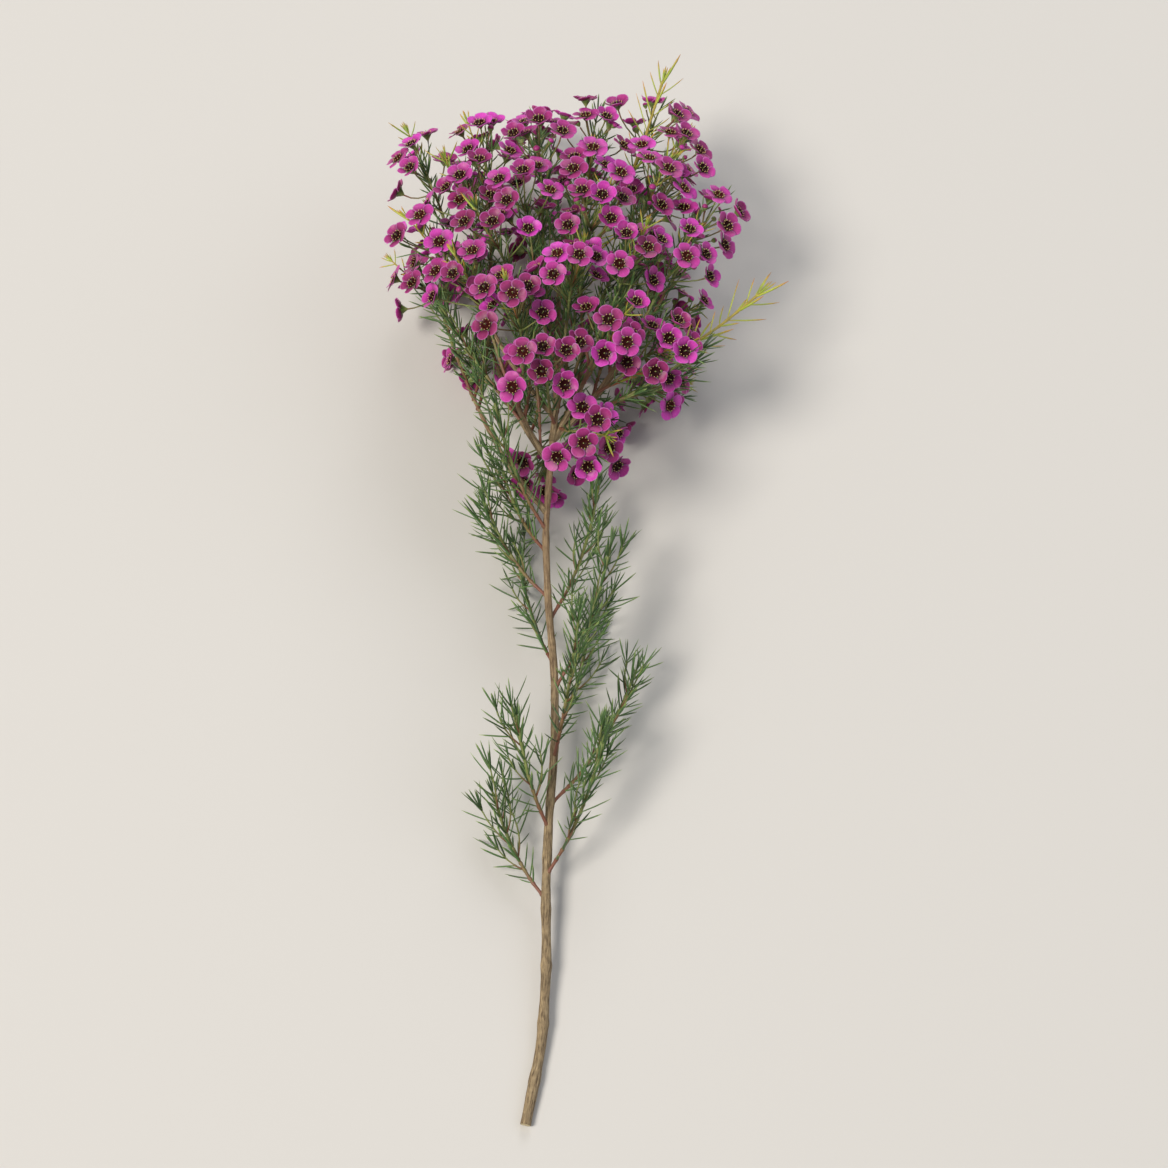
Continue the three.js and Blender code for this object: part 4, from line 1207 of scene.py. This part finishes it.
def bud_template(radius):
    """A bud about to open: its cup with the petals closed in a dome over it."""
    bm = new_mesh()
    lathe(bm, BUD_SIDES, CUP, [
        (0.0, -BUD_CUP - 0.2, 0.0), (0.4, -BUD_CUP, 0.0), (radius * 0.7, -1.2, 0.4), (radius, 0.0, 0.8),
        (radius * 0.84, 0.3, 0.95), (0.0, 0.3, 1.0)])
    lathe(bm, BUD_SIDES, PETAL, [
        (0.0, 0.1, 0.3), (radius * 0.86, 0.1, 0.3), (radius * 0.94, 0.8, 0.45),
        (radius * 0.64, 1.6, 0.75), (0.0, 1.95, 0.9)])
    return as_template(bm, "bud form")


def add_pedicel(bm, template, flower, tint):
    """A thin stalk from the twig to the cup, bent so that it meets the cup along its axis."""
    root, neck = flower["root"], flower["neck"]
    length = size(neck - root)
    bend = neck - flower["axis"] * (length * PEDICEL_BEND)
    frames = []
    for t in (i / STALK_STEPS for i in range(STALK_STEPS + 1)):
        at = bezier([root, bend, neck], t)
        u, v = across(unit(mixed(bend - root, neck - bend, t)))
        radius = mixed(*PEDICEL_RADIUS, min(1, t * 2)) + (PEDICEL_FLARE if t == 1 else 0)
        frames.append((Vector(at), Vector(u), Vector(v), radius))
    look, grain = look_of(bm), grain_of(bm)
    for vert in stamp(bm, template, TWIG):
        t = vert.co.z
        at, u, v, radius = frames[round(t * STALK_STEPS)]
        x, y = vert.co.x * radius, vert.co.y * radius
        vert.co = at + u * x + v * y
        vert[grain] = (x, y, t * length)
        vert[look] = (mixed(*PEDICEL_GREENING, t) + 0.5 * (tint - 0.5), 1, tint)


def add_flower(bm, forms, flower, draw):
    """One waxflower on its pedicel."""
    tint = draw()
    add_pedicel(bm, forms["stalk"], flower, tint)
    u, _ = across(flower["axis"])
    scale = flower["radius"] / FLOWER_RADIUS
    matrix = station_matrix(flower["centre"], flower["axis"], u, 1) @ Matrix.Rotation(flower["spin"], 4, "Z")
    matrix = matrix @ Matrix.Diagonal((scale, scale, 1, 1))
    look = look_of(bm)
    for vert in stamp(bm, forms["heart"]):
        vert.co = matrix @ vert.co
        grown, edge, old = vert[look]
        vert[look] = (grown, edge, mixed(old, flower["open"], 0.5) if old == OPENING_TINT else old)
    for i in range(PETALS):
        add_petal(bm, forms["petal"], flower, flower["spin"] + i * PETAL_STEP, draw, tint)


def grow_buds(taken, shoot, draw):
    """Buds between the flowers of a spray, each where there is room for it and its pedicel."""
    line, owner = shoot["twig"]["line"], shoot["owner"]
    nodes = frame_at(line, 1), frame_at(line, 1 - FLOWER_NODE / length_of(line))
    buds = []
    for i in range(bpy.context.scene.waxflower_sizes.bud_count):
        here = nodes[i % 2]
        for _ in range(BUD_TRIES):
            way = turned(here, draw(*BUD_LEAN), draw(0, TAU))
            centre = here[0] + way * draw(*BUD_REACH)
            axis = unit(way + UP * draw(*BUD_FACING_UP))
            neck = centre - axis * BUD_CUP
            stalk = line_balls(mixed(here[0], neck, BARE_ROOT), neck, FINE)
            if taken.claim([(centre, sizes("bud_radius"), False, False), *stalk], owner):
                buds.append({"root": here[0], "neck": neck, "centre": centre, "axis": axis})
                break
    return buds


def add_bud(bm, forms, bud, draw):
    """One bud on its pedicel."""
    tint = draw(*BUD_TINTS)
    add_pedicel(bm, forms["stalk"], bud, tint)
    u, _ = across(bud["axis"])
    matrix = station_matrix(bud["centre"], bud["axis"], u, 1) @ Matrix.Scale(draw(*BUD_SCALES), 4)
    look = look_of(bm)
    for vert in stamp(bm, forms["bud"]):
        vert.co = matrix @ vert.co
        vert[look] = (*vert[look][:2], tint)


# ---- Needles, twigs and wood ----

NEEDLE_WIDTHS = ((0, 0.55), (0.12, 0.88), (0.45, 1), (0.8, 0.84), (1, 0.14))  # (share along, share wide)
NEEDLE_BREADTHS = (0.85, 1.15)
NEEDLE_THICKNESS = 0.62
NEEDLE_BOWS = (0.0, 0.06)
NEEDLE_SAG = 0.6
EVERY_SHADE = (0, 1)

TWIG_GIRTH = 0.92
TWIG_TIP = 0.9
TWIG_SIDES = 6
TWIG_ROUNDING = 4  # mm to each side over which its corners are rounded
NODE_SWELLING = ((-1.4, 1.0), (0.0, 1.3), (1.2, 0.95))  # (mm past the node, share of the girth)
PLAIN_END = 0.01  # share at each end of a twig where no node swells
LONGEST_STEP = 5
SUNK_ROOT = ((0.8, 1.05), (2.5, 0.8))  # (mm back from a twig's start, share of the girth)
FLARED_ROOT = ((0.8, 1.3), (3.2, 1.3))

FIRST_PAIR = 6  # mm from a twig's ends within which no pair of needles is added
LAST_PAIR = 3
SAME_NODE = 0.55  # of a step within which a pair of the plan stands for an added one
PAIR_TURNS = (-0.3, 0.3)
PAIR_LENGTHS = (0.6, 1.1)
LENGTH_ALONG = (0.8, 1.05)
PAIR_TILTS = (-0.15, 0.2)
SHORTENED = (1.0, 0.75, 0.5)

TUFT = {"count": 6, "lean": (0.12, 0.4), "share": (0.35, 0.6)}
OPEN_TUFT = {"count": 4, "lean": (0.2, 0.6), "share": (0.5, 0.85)}
TUFT_SUNK = 0.8
TUFT_BROAD = 0.7
TUFT_BARE = 0.6
TUFT_BALL = 0.3

SPRIG_TRIES = 8
SPRIG_STEPS = 4
SPRIG_BEND = 0.5
SPRIG_RADIUS = (0.5, 0.4)
SPRIG_NEEDLE_STEP = 4
SPRIG_NEEDLES = (0.3, 0.9)  # shares of a sprig between which it has pairs of needles
SPRIG_SHADES = (0.05, 0.8)  # of a lime sprig as a whole
SPRIG_SPREAD = 0.2
LIME_SPRIG = {
    "places": (1,), "lean": (0.1, 0.7), "length": (20, 30), "needle": 13, "tuft": TUFT,
    "sides": 6, "skin": YOUNG_TWIG, "leaf": YOUNG,
}
GREEN_SPRIG = {
    "places": (0.5, 0.68, 0.86, 1), "lean": (0.45, 0.95), "length": (16, 26), "needle": 12,
    "tuft": OPEN_TUFT, "sides": 5, "skin": TWIG, "leaf": NEEDLE,
}
LEAFY_SPRIG = {
    "places": (0.26, 0.38, 0.5, 0.62, 0.74, 0.85), "lean": (0.55, 0.9), "length": (14, 25), "needle": 17,
    "tuft": OPEN_TUFT, "sides": 5, "skin": TWIG, "leaf": NEEDLE,
}

SPRAYS = {
    "plan": "sprays", "node": "flower_spray", "piece": "waxflower_spray", "slot": "petals",
    "stream": 6000, "step": "needle_step", "needle": SPRAY_NEEDLE_LENGTH,
    "skin": TWIG, "leaf": NEEDLE, "shades": EVERY_SHADE, "sprigs": (LIME_SPRIG, GREEN_SPRIG),
}
LEAFY_SHOOTS = {
    "plan": "leafy", "node": "leafy_shoot", "piece": "needle_shoot", "slot": "needles",
    "stream": 7000, "step": "needle_step", "needle": 18,
    "skin": TWIG, "leaf": NEEDLE, "shades": EVERY_SHADE, "sprigs": (LEAFY_SPRIG,),
}
LIME_SHOOTS = {
    "plan": "young", "node": "young_shoot", "piece": "lime_shoot", "slot": "young_needles",
    "stream": 8000, "step": "young_step", "needle": YOUNG_NEEDLE_LENGTH,
    "skin": YOUNG_TWIG, "leaf": YOUNG, "shades": (0.6, 1), "sprigs": (),
}

WOOD_STREAM = 9000
STEM_LOOKS = {"sides": 14, "node_share": 1, "step": 3.5, "rounding": 9, "collar": 0}
BRANCH_LOOKS = {"sides": 9, "node_share": 0.55, "step": 4, "rounding": 5, "collar": 0.45}
BARK_NODE = (0.16, 2.2)  # share of the girth that a node adds, and its width
BARK_WAVE = (0.05, 0.21)  # share of the girth, and radians a millimetre
BARK_DRAWS = (-0.02, 0.02)
COLLAR_LENGTH = 5


def needle_width_at(t):
    """Share of its full width that a needle has at a share of its length."""
    for (a, wide_a), (b, wide_b) in zip(NEEDLE_WIDTHS, NEEDLE_WIDTHS[1:]):
        if t <= b:
            return mixed(wide_a, wide_b, (t - a) / (b - a))
    return NEEDLE_WIDTHS[-1][1]


def add_needle(bm, template, needle, draw, material, shades):
    """A needle leaf of flat diamond section that runs to a fine tip, curved towards its twig's tip."""
    root, tip = Vector(needle["root"]), Vector(needle["tip"])
    way = tip - root
    length = way.length
    way.normalize()
    heading = Vector(needle["heading"])
    up = (heading - way * heading.dot(way)).normalized()
    side = way.cross(up)
    width = sizes("needle_width") / 2 * draw(*NEEDLE_BREADTHS) * needle.get("broad", 1)
    bow = length * draw(*NEEDLE_BOWS)
    tint = draw(*shades)
    look = look_of(bm)
    for vert in stamp(bm, template, material):
        x, y, t = vert.co
        broad = width * needle_width_at(t)
        lift = -bow * 4 * t * (1 - t) * NEEDLE_SAG
        vert.co = root + way * (t * length) + side * (x * broad) + up * (y * broad * NEEDLE_THICKNESS + lift)
        vert[look] = (t, 1 if abs(x) > 0.5 else 0, tint)


def smooth_at(line, t, spread):
    """A point of a line with its corners rounded."""
    share = min(spread / length_of(line), t, 1 - t)
    return (along(line, t - share) + along(line, t) * 2 + along(line, t + share)) / 4


def twig_stations(twig, nodes, roots):
    """The stations of a twig: a low swelling at each node, and a root sunk in what carries it."""
    line = twig["line"]
    length = length_of(line)
    places = {0.0: 1.0, 1.0: TWIG_TIP}
    for t in nodes:
        for past, swell in NODE_SWELLING:
            share = t + past / length
            if PLAIN_END < share < 1 - PLAIN_END:
                places[share] = swell
    gaps = sorted(places)
    for a, b in zip(gaps, gaps[1:]):
        steps = int((b - a) * length / LONGEST_STEP)
        for step in range(1, steps):
            places[a + (b - a) * step / steps] = 1.0
    stations = []
    for t in sorted(places):
        _, heading, u, _ = frame_at(line, t)
        radius = mixed(twig["from"], twig["to"], t) * TWIG_GIRTH * places[t]
        stations.append((smooth_at(line, t, TWIG_ROUNDING), heading, u, radius, t * length, t))
    at, heading, u, radius, _, _ = stations[0]
    for back, wide in roots:
        stations.insert(0, (at - heading * back, heading, u, radius * wide, -back, 0.0))
    return stations


def fill_needles(taken, twig, owner, have, step, length, draw, low, high):
    """More pairs of needles between those of the plan, each kept clear of everything grown, and the
    shares of the twig at which it has nodes."""
    whole = length_of(twig["line"])
    count = max(1, int((high - low) * whole / step))
    needles, nodes = [], []
    for i in range(count + 1):
        t = low + (high - low) * i / count
        nearest = min((needle["t"] for needle in have), key=lambda other: abs(other - t), default=math.inf)
        if abs(nearest - t) * whole < step * SAME_NODE:
            nodes.append(nearest)
            continue
        nodes.append(t)
        turn = draw(*PAIR_TURNS)
        for side in (i % 2, i % 2 + 2):
            reach = length * draw(*PAIR_LENGTHS) * mixed(*LENGTH_ALONG, t)
            needles += first_made(
                try_needle(taken, twig, owner, t, mixed(*NEEDLE_TILT, t) + draw(*PAIR_TILTS), side + turn,
                           reach * shorter, FINE)
                for shorter in SHORTENED)
    return needles, nodes


def tip_tuft(taken, twig, owner, length, draw, tuft=TUFT):
    """The needles at a shoot's tip, bunched and small on a growing one."""
    here = frame_at(twig["line"], 1)
    needles = []
    for i in range(tuft["count"]):
        way = turned(here, draw(*tuft["lean"]), i * TAU / tuft["count"] + draw(*PAIR_TURNS))
        tip = here[0] + way * (length * draw(*tuft["share"]))
        if taken.is_clear(line_balls(mixed(here[0], tip, TUFT_BARE), tip, TUFT_BALL), owner):
            root = here[0] - here[1] * TUFT_SUNK
            needles.append({"root": root, "tip": tip, "heading": here[1], "broad": TUFT_BROAD})
    return needles


def grow_sprig(taken, shoot, draw, t, kind):
    """A sprig on a shoot's twig, its needles and its nodes, in a list, where there is room."""
    line, owner = shoot["twig"]["line"], shoot["owner"]
    here = frame_at(line, t)
    for _ in range(SPRIG_TRIES):
        way = turned(here, draw(*kind["lean"]), draw(0, TAU))
        length = draw(*kind["length"])
        bend, tip = here[0] + way * (length * SPRIG_BEND), here[0] + unit(way + here[1]) * length
        if taken.claim(line_balls(mixed(here[0], tip, BARE_ROOT), tip), owner):
            line = curve_points([here[0] - here[1], bend, tip], SPRIG_STEPS)
            sprig = {"line": line, "from": SPRIG_RADIUS[0], "to": SPRIG_RADIUS[1]}
            needles, nodes = fill_needles(
                taken, sprig, owner, [], SPRIG_NEEDLE_STEP, kind["needle"], draw, *SPRIG_NEEDLES)
            needles += tip_tuft(taken, sprig, owner, kind["needle"], draw, kind["tuft"])
            return [(sprig, needles, nodes)]
    return []


def add_sprigs(bm, forms, shoot, draw, kind):
    """The sprigs of one kind on a shoot. Each lime one has a shade of its own."""
    for t in kind["places"]:
        for sprig, needles, nodes in grow_sprig(PLAN["taken"], shoot, draw, t, kind):
            add_tube(bm, twig_stations(sprig, nodes, ()), kind["sides"], kind["skin"], draw())
            shades = EVERY_SHADE
            if kind["leaf"] == YOUNG:
                shade = draw(*SPRIG_SHADES)
                shades = (shade, shade + SPRIG_SPREAD)
            for needle in needles:
                add_needle(bm, forms["needle"], needle, draw, kind["leaf"], shades)


def make_shoot(kind, number, shoot, forms, materials):
    """One flower spray or shoot as a single piece that stands for its node."""
    bm = new_mesh()
    draw = stream(kind["stream"] + number)
    twig, taken, owner = shoot["twig"], PLAN["taken"], shoot["owner"]
    whole = length_of(twig["line"])
    needles, nodes = fill_needles(
        taken, twig, owner, shoot["needles"], sizes(kind["step"]), kind["needle"], draw,
        FIRST_PAIR / whole, 1 - LAST_PAIR / whole)
    if shoot["flowers"]:
        nodes.append(1 - FLOWER_NODE / whole)
    else:
        needles += tip_tuft(taken, twig, owner, kind["needle"], draw)
    goes_on_from_wood = owner <= BRANCH_COUNT
    stations = twig_stations(twig, nodes, SUNK_ROOT if goes_on_from_wood else FLARED_ROOT)
    add_tube(bm, stations, TWIG_SIDES, kind["skin"], draw())
    for flower in shoot["flowers"]:
        add_flower(bm, forms, flower, draw)
    for needle in shoot["needles"] + needles:
        add_needle(bm, forms["needle"], needle, draw, kind["leaf"], kind["shades"])
    for sprig in kind["sprigs"]:
        add_sprigs(bm, forms, shoot, draw, sprig)
    if shoot["flowers"]:
        for bud in grow_buds(taken, shoot, draw):
            add_bud(bm, forms, bud, draw)
    name, node = f"{kind['piece']}_{number:02d}", f"{kind['node']}_{number:02d}"
    close_piece(bm, name, kind["slot"], [node], materials)


def make_shoots(kind):
    """All pieces of one kind, from small forms that they repeat and that are removed afterwards."""
    cuts = [share for share, _ in NEEDLE_WIDTHS[1:-1]]
    forms = {
        "petal": petal_template(),
        "stalk": cut_rod("stalk form", 5, [i / STALK_STEPS for i in range(1, STALK_STEPS)]),
        "needle": cut_rod("needle form", 4, cuts),
        "heart": heart_template(bpy.context.scene.waxflower_sizes.stamen_count,
                                sizes("disc_radius"), sizes("anther_radius")),
        "bud": bud_template(sizes("bud_radius")),
    }
    materials = plant_materials()
    for number, shoot in enumerate(PLAN[kind["plan"]], 1):
        make_shoot(kind, number, shoot, forms, materials)
    for mesh in forms.values():
        bpy.data.meshes.remove(mesh)


def limb_stations(limb, looks, draw):
    """The stations of a woody limb, with swollen nodes, an uneven girth and a collar where it forks."""
    line = limb["line"]
    length = length_of(line)
    node_step = sizes("bark_node_step") * looks["node_share"]
    count = int(length / looks["step"])
    offset = draw(0, node_step)
    stations = []
    for i in range(count + 1):
        t = i / count
        run = t * length
        _, heading, u, _ = frame_at(line, t)
        aside = (run + offset) % node_step
        node = math.exp(-(min(aside, node_step - aside) / BARK_NODE[1]) ** 2)
        wave = BARK_WAVE[0] * math.sin(run * BARK_WAVE[1] + offset)
        radius = mixed(limb["from"], limb["to"], t) * (1 + BARK_NODE[0] * node + wave + draw(*BARK_DRAWS))
        radius *= 1 + looks["collar"] * math.exp(-run / COLLAR_LENGTH)
        stations.append((smooth_at(line, t, looks["rounding"]), heading, u, radius, run, t))
    return stations


def make_wood():
    """The bark-covered stem and its woody branches."""
    bm = new_mesh()
    draw = stream(WOOD_STREAM)
    for i, limb in enumerate(PLAN["limbs"]):
        looks, cut = (BRANCH_LOOKS, None) if i else (STEM_LOOKS, CUT)
        add_tube(bm, limb_stations(limb, looks, draw), looks["sides"], BARK, draw(), cut)
    close_piece(bm, "bark_stem", "bark", ["woody_stem"], [bark_material(), cut_wood_material()])


# ---- Stage ----

CAMERA_LENS = 80
CAMERA_SENSOR = 36
CAMERA_ELEVATION = math.radians(66)
CAMERA_SIGHT = 60
FRAME_SHARE = 0.93  # of the picture's height that the stem fills
FRAME_TOP = 0.7  # share of the stem's height up to which it is framed
FRAME_ROUNDS = 20
LAMP_TARGET = (0, 0.05, 0.03)
LAMPS = (  # name, place, width, watts and colour
    ("key softbox", (-4.5, -2.0, 7.0), 3.5, 650, "#FFF8EE"),
    ("fill softbox", (4.8, 0.8, 4.4), 5.6, 80, "#EEF3FF"),
    ("rim softbox", (0.8, 5.6, 3.6), 3.6, 128, "#FFFFFF"),
)
SKY_COLOUR = "#F4F6FA"
SKY_STRENGTH = 0.24


def aim(thing, target):
    """Turns a camera or lamp at a point."""
    thing.rotation_euler = (Vector(target) - thing.location).to_track_quat("-Z", "Y").to_euler()


def make_camera():
    """A camera above the cut end's side that looks down on the lying stem and fills its square frame."""
    low, high = CAD_BOX
    data = bpy.data.cameras.new("camera")
    data.lens = CAMERA_LENS
    data.sensor_width = CAMERA_SENSOR
    data.clip_end = CAMERA_SIGHT
    camera = new_object("camera", data)
    bpy.context.scene.camera = camera
    back = Vector((0, -math.cos(CAMERA_ELEVATION), math.sin(CAMERA_ELEVATION)))
    up = Vector((0, math.sin(CAMERA_ELEVATION), math.cos(CAMERA_ELEVATION)))
    corners = [Vector((x, y, z))
               for x in (low.x, high.x) for y in (low.y, high.y) for z in (low.z, high.z * FRAME_TOP)]
    target = (low + high) / 2
    half = CAMERA_SENSOR / 2 / CAMERA_LENS * FRAME_SHARE
    distance = 1.0
    for _ in range(FRAME_ROUNDS):
        heights = [(c - target).dot(up) / (distance - (c - target).dot(back)) for c in corners]
        target = target + up * ((max(heights) + min(heights)) / 2 * distance)
        distance *= (max(heights) - min(heights)) / 2 / half
    camera.location = target + back * distance
    aim(camera, target)


def make_lamps():
    for name, place, wide, energy, tint in LAMPS:
        data = bpy.data.lights.new(name, "AREA")
        data.shape = "DISK"
        data.size = wide
        data.energy = energy
        data.color = linear(tint)[:3]
        lamp = new_object(name, data)
        lamp.location = place
        aim(lamp, LAMP_TARGET)


def make_floor():
    bm = bmesh.new()
    bmesh.ops.create_grid(bm, x_segments=1, y_segments=1, size=sizes("floor_width") * MM / 2)
    floor = new_object("floor", as_mesh(bm, "floor"))
    floor.data.materials.append(floor_material())


def make_world():
    world = bpy.data.worlds.new("soft studio")
    world.use_nodes = True
    background = world.node_tree.nodes["Background"]
    background.inputs["Color"].default_value = linear(SKY_COLOUR)
    background.inputs["Strength"].default_value = SKY_STRENGTH
    bpy.context.scene.world = world


# ---- Operators ----

class WAXFLOWER_OT_woody_stem(bpy.types.Operator):
    """Make the bark-covered stem with its woody branches"""

    bl_idname = "waxflower.woody_stem"
    bl_label = "Woody Stem"
    bl_options = {"REGISTER", "UNDO"}

    def execute(self, context):
        make_wood()
        return {"FINISHED"}


class WAXFLOWER_OT_flower_sprays(bpy.types.Operator):
    """Make every flower spray: its green twig, needles, pedicels and waxflowers"""

    bl_idname = "waxflower.flower_sprays"
    bl_label = "Flower Sprays"
    bl_options = {"REGISTER", "UNDO"}

    def execute(self, context):
        make_shoots(SPRAYS)
        return {"FINISHED"}


class WAXFLOWER_OT_leafy_shoots(bpy.types.Operator):
    """Make the dark green shoots under the flowers"""

    bl_idname = "waxflower.leafy_shoots"
    bl_label = "Leafy Shoots"
    bl_options = {"REGISTER", "UNDO"}

    def execute(self, context):
        make_shoots(LEAFY_SHOOTS)
        return {"FINISHED"}


class WAXFLOWER_OT_young_shoots(bpy.types.Operator):
    """Make the lime green young shoots that stand out of the head"""

    bl_idname = "waxflower.young_shoots"
    bl_label = "Young Shoots"
    bl_options = {"REGISTER", "UNDO"}

    def execute(self, context):
        make_shoots(LIME_SHOOTS)
        return {"FINISHED"}


class WAXFLOWER_OT_stage(bpy.types.Operator):
    """Make the pale floor, the soft lights and the camera"""

    bl_idname = "waxflower.stage"
    bl_label = "Stage"
    bl_options = {"REGISTER", "UNDO"}

    def execute(self, context):
        make_floor()
        make_world()
        make_lamps()
        make_camera()
        context.scene.view_settings.view_transform = "Standard"
        return {"FINISHED"}


class WAXFLOWER_PT_panel(bpy.types.Panel):
    """The stem's operators, sizes and colours"""

    bl_idname = "WAXFLOWER_PT_panel"
    bl_label = "Waxflower Stem"
    bl_space_type = "VIEW_3D"
    bl_region_type = "UI"
    bl_category = "Waxflower"

    def draw(self, context):
        layout = self.layout
        for operator in OPERATORS:
            layout.operator(operator.bl_idname)
        for label, group in (("Sizes", context.scene.waxflower_sizes),
                             ("Colours", context.scene.waxflower_colours)):
            box = layout.box()
            box.label(text=label)
            for name in group.__annotations__:
                box.prop(group, name)


OPERATORS = (
    WAXFLOWER_OT_stage,
    WAXFLOWER_OT_woody_stem,
    WAXFLOWER_OT_flower_sprays,
    WAXFLOWER_OT_leafy_shoots,
    WAXFLOWER_OT_young_shoots,
)
CLASSES = (WaxflowerSizes, WaxflowerColours, *OPERATORS, WAXFLOWER_PT_panel)


def register():
    for cls in CLASSES:
        bpy.utils.register_class(cls)
    bpy.types.Scene.waxflower_sizes = bpy.props.PointerProperty(type=WaxflowerSizes)
    bpy.types.Scene.waxflower_colours = bpy.props.PointerProperty(type=WaxflowerColours)


def unregister():
    del bpy.types.Scene.waxflower_colours
    del bpy.types.Scene.waxflower_sizes
    for cls in reversed(CLASSES):
        bpy.utils.unregister_class(cls)


def main():
    register()
    bpy.ops.waxflower.stage()
    bpy.ops.waxflower.woody_stem()
    bpy.ops.waxflower.flower_sprays()
    bpy.ops.waxflower.leafy_shoots()
    bpy.ops.waxflower.young_shoots()


if __name__ == "__main__":
    main()
